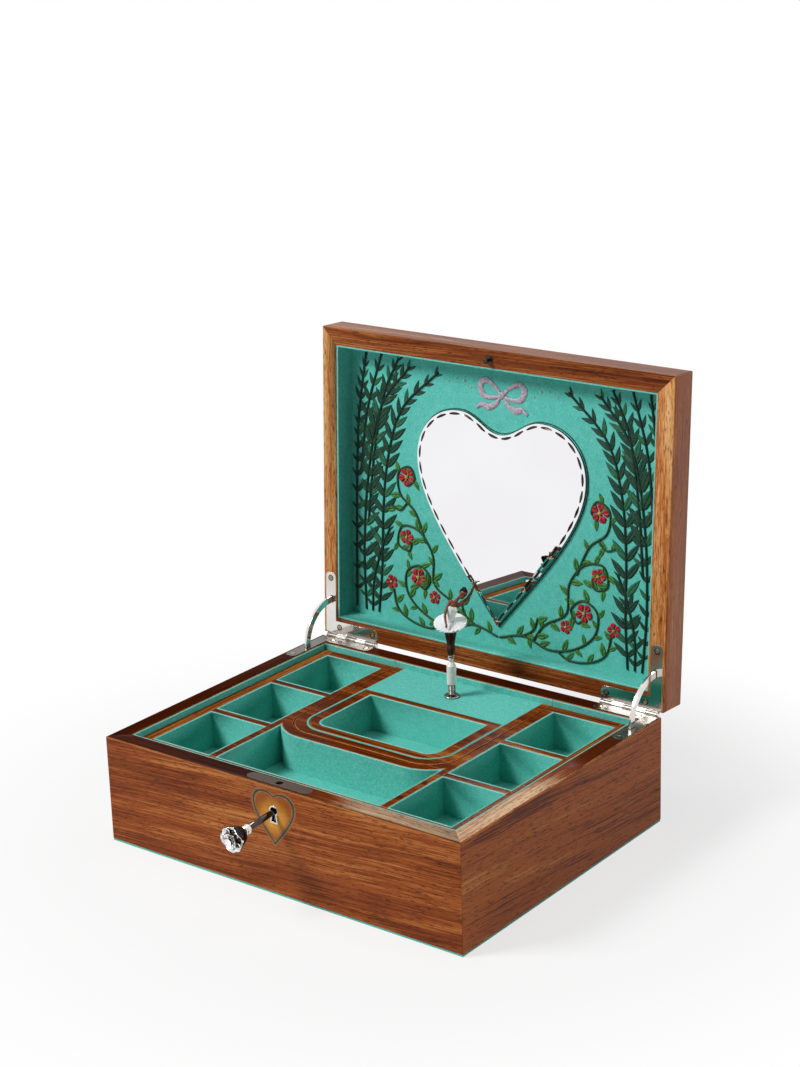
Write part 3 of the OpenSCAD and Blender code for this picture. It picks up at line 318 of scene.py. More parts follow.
def grained(name, along, colours, tilt=0.0, rough=0.34, gloss=0.1, streak=13.0, seed=0.0, glare_place=None,
            flat=False):
    """Sliced hardwood under lacquer: long soft bands, fine fibres and short open pores run along the grain.

    streak is the bands' width in millimetres. Round the place given for the glare the strip is paler, a painted
    highlight.
    A flat piece shows its face to the top, another to the front or side, and the grain stays in that face.
    """
    made, tree, shader, place = blank(name)
    turn = {"X": (0, 0, 0), "Y": (0, 0, math.pi / 2), "Z": (0, math.pi / 2, 0)}[along]
    turned = add(tree, "ShaderNodeMapping", {
        "Vector": place, "Rotation": turn, "Location": (seed, seed, seed)})
    tipped = add(tree, "ShaderNodeMapping", {"Vector": turned.outputs[0], "Rotation": (0, tilt, 0)})
    # the fibres wander by some millimetres over a hand's width
    sway = add(tree, "ShaderNodeTexNoise", {"Vector": tipped.outputs[0], "Scale": 9.0, "Detail": 1.0})
    wander = (0, 0.005, 0.0006) if flat else (0, 0.0006, 0.005)
    bent = add(tree, "ShaderNodeVectorMath", {
        0: sway.outputs["Color"], 1: wander, 2: tipped.outputs[0]}, operation="MULTIPLY_ADD")
    # bands some 300 mm long; fibres 0.8 mm wide and 45 mm long, coarser than real ones so that they show;
    # open pores 0.6 mm wide and 5 mm long, also drawn a little coarse
    bands, fibres, pores = (add(tree, "ShaderNodeTexNoise", {
        "Vector": add(tree, "ShaderNodeMapping", {"Vector": bent.outputs[0], "Scale": scale}).outputs[0],
        "Scale": 1.0, "Detail": detail, "Roughness": roughness, "Distortion": distortion}).outputs["Fac"]
        for scale, detail, roughness, distortion in (
            ((3.4, 1000 / streak, 1000 / streak), 3.0, 0.6, 0.4),
            ((22, 1250, 1250), 1.6, 0.6, 0.0),
            ((190, 1600, 1600), 1.0, 0.5, 0.0)))
    # only the noise's peaks are pores; a third of the tone comes from the fibres, the rest from the bands
    pore_mask = add(tree, "ShaderNodeMapRange", {
        "Value": pores, "From Min": 0.56, "From Max": 0.7, "To Max": 0.72})
    banded = add(tree, "ShaderNodeMapRange", {"Value": bands, "From Min": 0.26, "From Max": 0.72})
    fibred = add(tree, "ShaderNodeMapRange", {"Value": fibres, "From Min": 0.35, "From Max": 0.65})
    mixed = add(tree, "ShaderNodeMix", {0: 0.36, 2: banded.outputs[0], 3: fibred.outputs[0]})
    if glare_place:
        # the painted highlight of the glare is whole within 70 mm of its place and gone at 170 mm
        away = add(tree, "ShaderNodeVectorMath", {0: place, 1: glare_place}, operation="DISTANCE")
        pale = add(tree, "ShaderNodeMapRange", {
            "Value": away.outputs["Value"], "From Min": 0.07, "From Max": 0.17,
            "To Min": 0.6, "To Max": 0.0}, interpolation_type="SMOOTHSTEP")
        mixed = add(tree, "ShaderNodeMath", {0: mixed.outputs[0], 1: 0.45, 2: pale.outputs[0]},
                    operation="MULTIPLY_ADD")
    colour = add(tree, "ShaderNodeValToRGB", {"Fac": mixed.outputs[0]},
                 stops=list(zip((0.12, 0.38, 0.6, 0.88), colours)))
    pored = add(tree, "ShaderNodeMix", {0: pore_mask.outputs[0], 6: colour.outputs[0], 7: srgb(colours[4])},
                data_type="RGBA")
    tree.links.new(pored.outputs[2], shader.inputs["Base Color"])
    height = add(tree, "ShaderNodeMath", {0: fibres, 1: pore_mask.outputs[0]}, operation="SUBTRACT")
    bump = add(tree, "ShaderNodeBump", {"Height": height.outputs[0], "Strength": 0.2, "Distance": 0.2 * MM})
    tree.links.new(bump.outputs[0], shader.inputs["Normal"])
    shader.inputs["Roughness"].default_value = rough
    shader.inputs["Specular IOR Level"].default_value = gloss
    return made


def suede(name, colour, dark, pale, nap=3.2, sheen=0.12):
    """Microfibre suede: a brushed nap that lies in soft blotches nap millimetres wide, matt with a sheen."""
    made, tree, shader, place = blank(name)
    blotch = add(tree, "ShaderNodeTexNoise", {
        "Vector": place, "Scale": 1000 / nap, "Detail": 3.0, "Roughness": 0.6})
    # the nap's grain is drawn 0.8 mm coarse, since real fibres are too fine to show
    grain = add(tree, "ShaderNodeTexNoise", {
        "Vector": place, "Scale": 1250.0, "Detail": 2.0, "Roughness": 0.7})
    both = add(tree, "ShaderNodeMath", {0: blotch.outputs["Fac"], 1: 0.4, 2: grain.outputs["Fac"]},
               operation="MULTIPLY_ADD")
    spread = add(tree, "ShaderNodeMapRange", {"Value": both.outputs[0], "From Min": 0.35, "From Max": 1.05})
    tint = add(tree, "ShaderNodeValToRGB", {"Fac": spread.outputs[0]},
               stops=[(0.0, dark), (0.5, colour), (1.0, pale)])
    tree.links.new(tint.outputs[0], shader.inputs["Base Color"])
    bump = add(tree, "ShaderNodeBump", {"Height": both.outputs[0], "Strength": 0.35, "Distance": 0.3 * MM})
    tree.links.new(bump.outputs[0], shader.inputs["Normal"])
    shader.inputs["Roughness"].default_value = 0.92
    shader.inputs["Specular IOR Level"].default_value = 0.05
    shader.inputs["Sheen Weight"].default_value = sheen
    shader.inputs["Sheen Roughness"].default_value = 0.45
    shader.inputs["Sheen Tint"].default_value = srgb(pale)
    return made


def metal(name, dark, bright, rough, wear=0.05, scale=60.0):
    """Plated or bare metal: clear reflections, a little duller in faint handled patches."""
    made, tree, shader, place = blank(name)
    # at 60 to the metre the patches are some 17 mm wide
    patches = add(tree, "ShaderNodeTexNoise", {"Vector": place, "Scale": scale, "Detail": 3.0})
    dull = add(tree, "ShaderNodeMapRange", {
        "Value": patches.outputs["Fac"], "From Min": 0.35, "From Max": 0.75,
        "To Min": rough, "To Max": rough + wear})
    tree.links.new(dull.outputs[0], shader.inputs["Roughness"])
    tone = add(tree, "ShaderNodeValToRGB", {"Fac": patches.outputs["Fac"]},
               stops=[(0.2, dark), (0.8, bright)])
    tree.links.new(tone.outputs[0], shader.inputs["Base Color"])
    shader.inputs["Metallic"].default_value = 1.0
    return made


def painted(name, colour, dark, rough=0.45, grain=2.0, coat=0.0, bump_mm=0.03, gloss=0.25):
    """Moulded or painted surface: even colour, darker in small cloudy patches grain millimetres wide."""
    made, tree, shader, place = blank(name)
    cloud = add(tree, "ShaderNodeTexNoise", {"Vector": place, "Scale": 1000 / grain, "Detail": 3.0})
    tone = add(tree, "ShaderNodeValToRGB", {"Fac": cloud.outputs["Fac"]},
               stops=[(0.3, dark), (0.65, colour)])
    tree.links.new(tone.outputs[0], shader.inputs["Base Color"])
    bump = add(tree, "ShaderNodeBump", {
        "Height": cloud.outputs["Fac"], "Strength": 0.3, "Distance": bump_mm * MM})
    tree.links.new(bump.outputs[0], shader.inputs["Normal"])
    shader.inputs["Roughness"].default_value = rough
    shader.inputs["Specular IOR Level"].default_value = gloss
    shader.inputs["Coat Weight"].default_value = coat
    return made


def inlay_wood(tone):
    """Burr veneer: tan, clouded by small swirls, darkening to its edge like sand-shaded inlay."""
    made, tree, shader, place = blank("Sand-shaded burr veneer")
    lo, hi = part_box("heart_inlay")
    middle = (lo + hi) / 2
    near = add(tree, "ShaderNodeVectorMath", {0: place, 1: tuple(middle)}, operation="DISTANCE")
    edge = add(tree, "ShaderNodeMapRange", {
        "Value": near.outputs["Value"], "From Min": 6 * MM, "From Max": 19 * MM})
    # swirls about 4 mm wide
    swirl = add(tree, "ShaderNodeTexNoise", {
        "Vector": place, "Scale": 260.0, "Detail": 4.0, "Distortion": 1.6})
    both = add(tree, "ShaderNodeMath", {0: swirl.outputs["Fac"], 1: 0.6, 2: edge.outputs[0]},
               operation="MULTIPLY_ADD")
    tint = add(tree, "ShaderNodeValToRGB", {"Fac": both.outputs[0]}, stops=[
        (0.15, tone.inlay_light), (0.6, tone.inlay), (1.0, tone.inlay_edge)])
    tree.links.new(tint.outputs[0], shader.inputs["Base Color"])
    shader.inputs["Roughness"].default_value = 0.3
    shader.inputs["Specular IOR Level"].default_value = 0.1
    return made


FINISHES = {}


def material(key):
    """A material of the box by its short key, made once from the box's colours."""
    if key in FINISHES:
        return FINISHES[key]
    tone = bpy.context.scene.jewellery_colours
    # the woods: dark, middle, warm and light, then the pores
    wall = (tone.wood_dark, tone.wood_mid, tone.wood_warm, tone.wood_light, tone.wood_pore)
    side = (tone.wood_dark, tone.wood_warm, tone.frame_dark, tone.wood_light, tone.wood_pore)
    # the lid's rails take a darker palette and its uprights a lighter one: painted shade and painted light on one
    # veneer
    rail = (tone.wood_dark, tone.wood_mid, tone.frame_dark, tone.frame_light, tone.wood_pore)
    stile = (tone.frame_dark, tone.frame_mid, tone.frame_light, tone.wood_edge, tone.wood_pore)
    # the eased edges' palette is lighter: a painted highlight
    edge = (tone.wood_mid, tone.wood_warm, tone.wood_light, tone.wood_light, tone.wood_mid)
    # the rim's lightest stop is the colour of its painted glare
    rim = (tone.tray_dark, tone.tray_mid, tone.tray_warm, tone.rim_glare, tone.wood_pore)
    tray = (tone.tray_dark, tone.tray_mid, tone.tray_warm, tone.tray_light, tone.wood_pore)
    # the trays' eased edges are lighter: a painted highlight
    tray_edge_highlight = (tone.tray_mid, tone.tray_warm, tone.tray_light, tone.tray_light, tone.tray_mid)
    # the rim's painted highlight of glare is at its front right corner
    strip = {"rough": 0.2, "gloss": 0.006, "glare_place": (0.15, -0.118, 0.078), "flat": True}
    lacquer = {"rough": 0.16, "gloss": 0.007, "flat": True}
    teal = (tone.suede, tone.suede_shade, tone.suede_pale)
    made = {
        # sliced rosewood-like veneer, satin lacquered: reddish brown, streaked, soft sheen
        "front_veneer": lambda: grained("Lacquered veneer, front", "X", wall, tilt=0.06, seed=0.13),
        "back_veneer": lambda: grained("Lacquered veneer, back", "X", wall, tilt=-0.04, seed=0.71),
        "left_veneer": lambda: grained("Lacquered veneer, left", "Y", wall, tilt=0.03, seed=0.37),
        "right_veneer": lambda: grained("Lacquered veneer, right", "Y", side, 0.08, seed=0.93, streak=16.0),
        "lid_veneer": lambda: grained("Lacquered veneer, lid", "X", wall, 0.02, seed=0.55, streak=16.0),
        # the lid's uprights painted lighter as lit, its rails darker as shaded
        "lid_upright_lit": lambda: grained("Lacquered veneer, lid uprights, painted lit", "Z", stile, tilt=0.02, seed=0.29),
        "lid_side": lambda: grained("Lacquered veneer, lid sides", "Z", side, tilt=0.02, seed=0.67),
        "lid_rail_shaded": lambda: grained("Lacquered veneer, lid rails, painted shaded", "X", rail, tilt=0.02, seed=0.83),
        "rim_x": lambda: grained("Lacquered rim strip, across", "X", rim, seed=0.19, **strip),
        "rim_y": lambda: grained("Lacquered rim strip, along", "Y", rim, seed=0.23, **strip),
        # the same veneer, lighter along its eased edges: a thin line of painted highlight
        "veneer_edge_highlight": lambda: grained("Veneer edge, painted highlight", "X", edge, rough=0.3, seed=0.5),
        # solid hardwood trays, gloss lacquered: dark red-brown, with a painted highlight on their edges
        "tray_x": lambda: grained("Gloss lacquered hardwood, across", "X", tray, seed=0.47, **lacquer),
        "tray_y": lambda: grained("Gloss lacquered hardwood, along", "Y", tray, seed=0.61, **lacquer),
        "tray_edge_highlight": lambda: grained("Tray edge, painted highlight", "X", tray_edge_highlight, rough=0.3, seed=0.41),
        # stained plywood under the linings: the trays' colour, quite matt
        "board": lambda: grained("Birch plywood, stained", "X", tray, rough=0.55, seed=0.17),
        # brushed microfibre glued over card: deep teal, paler where the nap is raised, the folded edges paler
        # still as a painted highlight
        "suede": lambda: suede("Teal microfibre suede", *teal, sheen=0.6),
        "lid_suede": lambda: suede("Teal suede, lid panel", *teal, nap=4.5),
        "suede_lip_highlight": lambda: suede("Folded suede edge, painted highlight", tone.suede_pale, tone.suede, tone.suede_lip_highlight,
                                   sheen=0.3),
        # pressed wool baize under the box: the same teal, finer in grain and dull
        "felt": lambda: suede("Teal baize", *teal, nap=1.5, sheen=0.2),
        # electroplated nickel over brass, buffed bright: clear warm-white reflections
        "nickel": lambda: metal("Polished nickel plate", "#d0ccc6", "#e8e5e1", 0.1),
        "key_nickel": lambda: metal("Bright nickel plate", "#cbc7c1", "#e6e3de", 0.05),
        # the same plate rubbed by hands or tumbled: blurred reflections, from dim to almost white; the base's
        # hinge leaves, the spring and its bush dimmed as painted shade
        "satin_nickel_dimmed": lambda: metal("Handled nickel plate, dimmed as painted shade", "#625d58", "#7f7973", 0.26),
        "spring_nickel_dimmed": lambda: metal("Nickel plated spring wire, dimmed as painted shade", "#7d7872", "#a5a09a", 0.12),
        "petal_nickel": lambda: metal("Satin nickel plate", "#f0eeea", "#fbfaf8", 0.3, wear=0.03),
        "screw": lambda: metal("Nickel plated screws", "#8f8468", "#b5a98a", 0.2),
        # painted shade: nickel coloured black where shade and dark reflections fall, which draws outlines
        "painted_shade": lambda: metal("Nickel in painted shade", "#1f1b19", "#37302b", 0.3),
        # drawn steel coloured dark as a painted dark reflection, and clear; bronzed steel brown and dull; ground
        # steel grey and dull
        "shank": lambda: metal("Steel shank, darkened as painted reflection", "#3a3330", "#57504b", 0.14, wear=0.03),
        "bronze": lambda: metal("Bronzed steel plate", "#3c2f28", "#574940", 0.34, wear=0.12),
        "steel": lambda: metal("Ground carbon steel", "#8d8f92", "#a9abad", 0.28, wear=0.1),
        # turned and stamped brass of the movement: yellow, lightly dulled
        "brass": lambda: metal("Turned brass", "#b98f42", "#dcb76a", 0.2, wear=0.1),
        # silvered glass: a perfect, faintly cool reflection; the cuts in its bevel are coloured dark as a painted
        # dark reflection
        "mirror": lambda: metal("Silvered glass mirror", "#efedf0", "#f5f4f6", 0.0, wear=0.004, scale=12.0),
        "mirror_cut_painted_dark": lambda: metal("Ground scallop of the bevel, painted dark reflection", "#2b2623", "#4a433e", 0.08, scale=200.0),
        # ivory-white acetal post and white enamelled slippers: bright, faintly waxy
        "white_plastic": lambda: painted("Moulded white acetal", "#f4f3ee", "#e4e3de", 0.3, coat=0.2),
        # enamel brushed on by hand: even colour with a soft sheen, the hair almost matt
        "skin": lambda: painted("Hand-painted brown enamel", "#7a4429", "#5a2f1b", 0.42, grain=3.0),
        "tights": lambda: painted("Hand-painted dark enamel tights", "#4d2c1c", "#331a10", 0.33, grain=4.0),
        "hair": lambda: painted("Hand-painted black-brown enamel hair", "#1c110d", "#0d0806", 0.6, grain=0.8,
                                bump_mm=0.15, gloss=0.04),
        "lips": lambda: painted("Hand-painted rose enamel", "#8d3c33", "#74302a", 0.4),
        "bodice": lambda: painted("Satin-white enamel bodice", "#f3f3f0", "#e2e3e2", 0.4, 1.2, bump_mm=0.08),
        # starched tulle: white and matt, its threads no more than a rough grain
        "net": lambda: painted("Starched white net", "#f5f6f6", "#d5dadc", 0.75, grain=0.7, bump_mm=0.35),
        # a heart of pale burr in the front: swirled, shaded brown towards its edge
        "inlay": lambda: inlay_wood(tone),
        # lines of dyed veneer let in round the heart and lacquered over: even colour, soft sheen
        "string_black": lambda: painted("Dyed black stringing", "#3b382b", "#2a281e", 0.35, grain=3.0),
        "string_olive": lambda: painted("Dyed olive stringing", "#857544", "#6d6136", 0.35, grain=3.0),
        "string_red": lambda: painted("Padauk stringing", "#a8502f", "#8c4326", 0.35, grain=3.0),
        # thin dyed leather, cord and ribbon stuck on the suede: matt, soft, with a fine uneven grain
        "frond": lambda: painted("Dark green leather applique", tone.frond, tone.frond_shade, 0.55, 1.4,
                                 bump_mm=0.12),
        # every fifth fern leaflet is lighter green: a painted highlight
        "frond_highlight": lambda: painted("Mid green leather applique, painted highlight", "#2f6f4d", tone.frond, 0.55, 1.4,
                                       bump_mm=0.12),
        "frond_rib": lambda: painted("Deep green cord applique", tone.frond_shade, tone.frond_shade, 0.6),
        "leaf": lambda: painted("Leaf green leather applique", tone.leaf, tone.leaf_shade, 0.55, 2.2,
                                bump_mm=0.12),
        "vine": lambda: painted("Twisted olive cord", tone.vine, tone.frond_shade, 0.6, 0.9, bump_mm=0.2),
        "petal": lambda: painted("Red leather applique", tone.petal, tone.petal_shade, 0.5, grain=2.0),
        "pollen": lambda: painted("Gold-yellow leather applique", "#d8a93f", "#a97b22", 0.5),
        "ribbon": lambda: painted("Lilac-grey ribbon applique", "#c9b9c6", "#8f7f8f", 0.45, grain=1.5),
    }[key]()
    FINISHES[key] = made
    return made


# ---------- node trees that repeat and sweep ----------

def given_inputs(tree, **kinds):
    """Names a node tree's inputs and its one output, and returns the inputs' sockets."""
    for name, kind in kinds.items():
        tree.interface.new_socket(name, in_out="INPUT", socket_type="NodeSocket" + kind)
    tree.interface.new_socket("Geometry", in_out="OUTPUT", socket_type="NodeSocketGeometry")
    return add(tree, "NodeGroupInput").outputs


def end_tree(tree, shape, finish):
    """Makes a tree's shapes real, gives them their material and hands them out."""
    real = add(tree, "GeometryNodeRealizeInstances", {"Geometry": shape})
    finished = add(tree, "GeometryNodeSetMaterial", {"Geometry": real.outputs[0], "Material": finish})
    add(tree, "NodeGroupOutput", {"Geometry": finished.outputs[0]})
    return tree


def repeat_tree():
    """Sets a shape at each point, turned and sized by the point's own values."""
    tree = bpy.data.node_groups.new("Set a shape at each point", "GeometryNodeTree")
    given = given_inputs(tree, Points="Geometry", Shape="Object", Finish="Material")
    shape = add(tree, "GeometryNodeObjectInfo", {"Object": given["Shape"]})
    turn = add(tree, "GeometryNodeInputNamedAttribute", {"Name": "turn"}, data_type="FLOAT_VECTOR")
    size = add(tree, "GeometryNodeInputNamedAttribute", {"Name": "size"}, data_type="FLOAT")
    rotate = add(tree, "FunctionNodeEulerToRotation", {0: turn.outputs[0]})
    placed = add(tree, "GeometryNodeInstanceOnPoints", {
        "Points": given["Points"], "Instance": shape.outputs["Geometry"],
        "Rotation": rotate.outputs[0], "Scale": size.outputs[0]})
    return end_tree(tree, placed.outputs[0], given["Finish"])


def sweep_tree():
    """Sweeps a round section along lines of edges, as thick at each point as the point's own value."""
    tree = bpy.data.node_groups.new("Sweep a round section", "GeometryNodeTree")
    given = given_inputs(tree, Lines="Geometry", Radius="Float", Sides="Int", Finish="Material")
    lines = add(tree, "GeometryNodeMeshToCurve", {0: given["Lines"]})
    size = add(tree, "GeometryNodeInputNamedAttribute", {"Name": "size"}, data_type="FLOAT")
    thick = add(tree, "GeometryNodeSetCurveRadius", {"Curve": lines.outputs[0], "Radius": size.outputs[0]})
    ring = add(tree, "GeometryNodeCurvePrimitiveCircle", {
        "Resolution": given["Sides"], "Radius": given["Radius"]})
    cords = add(tree, "GeometryNodeCurveToMesh", {
        "Curve": thick.outputs[0], "Profile Curve": ring.outputs[0], "Fill Caps": True})
    soft = add(tree, "GeometryNodeSetShadeSmooth", {0: cords.outputs[0]})
    return end_tree(tree, soft.outputs[0], given["Finish"])


TREES = {}


def grow(name, points, maker, edges=(), **inputs):
    """Runs a node tree on points of (place, turn, size) and returns the finished plain mesh object."""
    if maker not in TREES:
        TREES[maker] = maker()
    mesh = bpy.data.meshes.new(name)
    mesh.from_pydata([tuple(p[0]) for p in points], list(edges), [])
    mesh.attributes.new("turn", "FLOAT_VECTOR", "POINT").data.foreach_set(
        "vector", [c for p in points for c in p[1]])
    mesh.attributes.new("size", "FLOAT", "POINT").data.foreach_set("value", [p[2] for p in points])
    obj = in_scene(name, mesh)
    nodes = obj.modifiers.new("Build", "NODES")
    nodes.node_group = TREES[maker]
    sockets = {item.name: item.identifier for item in TREES[maker].interface.items_tree
               if item.item_type == "SOCKET" and item.in_out == "INPUT"}
    for key, value in inputs.items():
        nodes[sockets[key]] = value
    settle(obj)
    for attribute in ("turn", "size"):
        if attribute in obj.data.attributes:
            obj.data.attributes.remove(obj.data.attributes[attribute])
    return obj


def swept(name, lines, radius, finish, sides=8):
    """Sweeps lines of (place, relative thickness) points into round cords."""
    points, edges = [], []
    for line in lines:
        start = len(points)
        points += [(p, (0, 0, 0), t) for p, t in line]
        edges += [(i, i + 1) for i in range(start, len(points) - 1)]
    return grow(name, points, sweep_tree, edges=edges, Radius=radius, Sides=sides, Finish=finish)


def repeated(name, shape, points, finish):
    """Sets a shape at points of (place, turn, size)."""
    shape.hide_render = True
    made = grow(name, points, repeat_tree, Shape=shape, Finish=finish)
    bpy.data.objects.remove(shape)
    return made


# ---------- shapes ----------

# half outline of a heart one unit high, its tip at the origin: two curves, then a sharp or a soft cleft
HEART = [((0, 0), (0.225, 0.28), (0.469, 0.537), (0.469, 0.756)),
         ((0.469, 0.756), (0.469, 0.891), (0.373, 1), (0.225, 1))]
SHARP_CLEFT = ((0.225, 1), (0.129, 1), (0.039, 0.961), (0, 0.916))
SOFT_CLEFT = ((0.225, 1), (0.134, 1), (0.085, 0.916), (0, 0.916))


def bezier(curve, t):
    """Point of a cubic curve."""
    a, b, c, d = (Vector(p) for p in curve)
    return a * (1 - t) ** 3 + b * 3 * (1 - t) ** 2 * t + c * 3 * (1 - t) * t * t + d * t ** 3


def heart_loop(height, cleft, fine=60):
    """Whole heart outline with its tip at the origin."""
    half = [bezier(c, i / fine) * height for c in (*HEART, cleft) for i in range(fine)]
    half.append(Vector((0, cleft[3][1] * height)))
    return half + [Vector((-p.x, p.y)) for p in reversed(half[1:-1])]


def evenly(loop, count):
    """Points at equal steps along a closed line."""
    length = [0.0]
    for a, b in zip(loop, loop[1:] + loop[:1]):
        length.append(length[-1] + (b - a).length)
    made = []
    j = 0
    for k in range(count):
        want = length[-1] * k / count
        while length[j + 1] < want:
            j += 1
        t = (want - length[j]) / (length[j + 1] - length[j])
        made.append(loop[j].lerp(loop[(j + 1) % len(loop)], t))
    return made


def spline(points, steps):
    """Smooth line through points, as Vectors."""
    pts = [Vector(p) for p in points]
    pts = [pts[0] * 2 - pts[1]] + pts + [pts[-1] * 2 - pts[-2]]
    made = []
    for i in range(1, len(pts) - 2):
        a, b, c, d = pts[i - 1:i + 3]
        for k in range(steps):
            t = k / steps
            made.append(0.5 * (2 * b + (c - a) * t + (2 * a - 5 * b + 4 * c - d) * t * t
                               + (3 * b - a - 3 * c + d) * t ** 3))
    made.append(pts[-2])
    return made


def heading_at(line, i):
    """Direction in which a line runs at one of its points."""
    return (line[min(i + 1, len(line) - 1)] - line[max(i - 1, 0)]).normalized()


def hoop(middle, side, other, radius, count, squash=1.0):
    """Points round a circle in the plane of two directions, squashed along the second one."""
    turns = [2 * math.pi * k / count for k in range(count)]
    return [middle + (side * math.cos(a) + other * math.sin(a) * squash) * radius for a in turns]


def between(count, rings):
    """Faces between rings of count points each."""
    steps = [(k, (k + 1) % count) for k in range(count)]
    return [(i * count + k, i * count + n, (i + 1) * count + n, (i + 1) * count + k)
            for i in range(rings - 1) for k, n in steps]


def ends(count, rings):
    """The two faces that close the first and the last ring."""
    return [tuple(range(count)), tuple(range((rings - 1) * count, rings * count))]


def banded_ring(name, loops, finishes):
    """A closed ring through outlines of equal count, with a finish for each band between two of them."""
    count = len(loops[0])
    faces, kinds, used = [], [], []
    for level in range(len(loops)):
        finish = finishes[min(level, len(finishes) - 1)]
        if finish not in used:
            used.append(finish)
        after = (level + 1) % len(loops)
        for k in range(count):
            n = (k + 1) % count
            faces.append((level * count + k, level * count + n, after * count + n, after * count + k))
            kinds.append(used.index(finish))
    ring = new_mesh(name, [v for loop in loops for v in loop], faces, used[0], smooth=False)
    for finish in used[1:]:
        ring.data.materials.append(finish)
    ring.data.polygons.foreach_set("material_index", kinds)
    return ring


def lathe(name, profile, origin, axis, finish, sides=32):
    """Turned piece: profile of (radius, distance) along an axis from a point."""
    axis = Vector(axis).normalized()
    side = axis.orthogonal().normalized()
    other = axis.cross(side)
    verts = [v for r, d in profile for v in hoop(Vector(origin) + axis * d, side, other, r, sides)]
    rings = len(profile)
    return new_mesh(name, verts, between(sides, rings) + ends(sides, rings), finish)


def limb(points, sides=20, squash=1.0):
    """Closed tapered tube through (place, radius) points with round ends: verts and faces."""
    steps = 6  # rings from one point to the next
    line = spline([p for p, r in points], steps)
    radii = [v.x for v in spline([(r, 0, 0) for p, r in points], steps)]
    previous = None
    rings = []
    for i, p in enumerate(line):
        run = heading_at(line, i)
        # each ring keeps the turn of the one before it, so the tube doesn't twist
        side = (previous - run * previous.dot(run) if previous else run.orthogonal()).normalized()
        previous = side
        rings.append((p, run, side, radii[i]))
    domes = (0.35, 0.7, 1.1, 1.45)  # latitudes of the round ends' rings
    (p, run, side, r), (q, way, edge, s) = rings[0], rings[-1]
    rings = ([(p - run * r * math.sin(a), run, side, r * math.cos(a)) for a in reversed(domes)] + rings
             + [(q + way * s * math.sin(a), way, edge, s * math.cos(a)) for a in domes])
    verts = [v for p, run, side, r in rings for v in hoop(p, side, run.cross(side), r, sides, squash)]
    return verts, between(sides, len(rings)) + ends(sides, len(rings))


def egg(centre, radii, turn=(0, 0, 0), count=20):
    """Ellipsoid as verts and faces in figure millimetres."""
    rotate = Euler([math.radians(a) for a in turn]).to_matrix()
    verts = []
    half, pole = count // 2, 0.02  # the last rings stop this little of a step before the poles
    for i in range(half + 1):
        lat = math.pi * (min(max(i, pole), half - pole) / half - 0.5)
        for k in range(count):
            lon = 2 * math.pi * k / count
            local = Vector((radii[0] * math.cos(lat) * math.cos(lon),
                            radii[1] * math.cos(lat) * math.sin(lon), radii[2] * math.sin(lat)))
            verts.append(Vector(centre) + rotate @ local)
    return verts, between(count, half + 1) + ends(count, half + 1)


def moulded(name, parts, finish, voxel, smooth):
    """Melts overlapping closed shapes of (verts, faces) in figure millimetres into one smooth skin.

    voxel is the grid's step in millimetres, smooth how often the skin is smoothed.
    """
    verts, faces = [], []
    for v, f in parts:
        start = len(verts)
        verts += [on_figure(*p) for p in v]
        faces += [tuple(i + start for i in face) for face in f]
    obj = new_mesh(name, verts, faces, finish)
    melt = obj.modifiers.new("Melt together", "REMESH")
    melt.mode = "VOXEL"
    melt.voxel_size = voxel * MM
    melt.use_smooth_shade = True
    ease = obj.modifiers.new("Smooth", "SMOOTH")
    ease.factor = 0.5
    ease.iterations = smooth
    settle(obj)
    paint(obj.data, finish)
    shade(obj.data)
    return obj


def domed_leaf(name, length, width, height, point, finish):
    """Flat-backed leaf along +X, domed along its halves with a groove for its midrib.

    point below 1 moves the leaf's widest place towards its foot, above 1 towards its tip.
    """
    section = ((-1, 0.0), (-0.72, 0.8), (-0.4, 1.0), (-0.12, 0.7), (0, 0.2), (0.12, 0.7), (0.4, 1.0),
               (0.72, 0.8), (1, 0.0))
    verts, faces = [], []
    steps, row = 10, len(section)
    for i in range(steps + 1):
        t = i / steps
        inside = 0 < i < steps
        half = width / 2 * math.sin(math.pi * t ** point) ** 0.85 if inside else width * 0.02
        for s, h in section:
            rise = height * h * (math.sin(math.pi * t ** point) ** 0.4 if inside else 0.05)
            verts.append(Vector((length * t, half * s, rise)))
    for i in range(steps):
        for k in range(row - 1):
            faces.append((i * row + k, (i + 1) * row + k, (i + 1) * row + k + 1, i * row + k + 1))
        faces.append((i * row, i * row + row - 1, (i + 1) * row + row - 1, (i + 1) * row))
    return new_mesh(name, verts, faces + ends(row, steps + 1), finish)


def oval_head(name, radius, height, finish):
    """Low domed screw head facing +Z with a cross recess."""
    rings, steps = 9, 40
    turns = [2 * math.pi * k / steps for k in range(steps)]
    verts = [(0, 0, 0.02 * height)]
    for i in range(1, rings + 1):
        r = radius * i / rings
        for a in turns:
            off = r * abs(math.sin(2 * a)) / 2
            # how deep the recess's arms are here: they fade to both sides and towards the rim
            arm = max(1 - off / (0.16 * radius), 0) * max(1 - (i / rings / 0.62) ** 4, 0)
            crown = height * (1 - (i / rings) ** 2) * (1 - 0.98 * arm)
            verts.append((r * math.cos(a), r * math.sin(a), crown))
    faces = [(0, 1 + k, 1 + (k + 1) % steps) for k in range(steps)]
    for i in range(rings - 1):
        a, b = 1 + i * steps, 1 + (i + 1) * steps
        for k in range(steps):
            n = (k + 1) % steps
            faces.append((a + k, b + k, b + n, a + n))
    last = 1 + (rings - 1) * steps
    low = len(verts)
    verts += [(radius * math.cos(a), radius * math.sin(a), -0.1 * MM) for a in turns]
    for k in range(steps):
        n = (k + 1) % steps
        faces.append((last + k, low + k, low + n, last + n))
    faces.append(tuple(low + k for k in reversed(range(steps))))
    return new_mesh(name, verts, faces, finish)


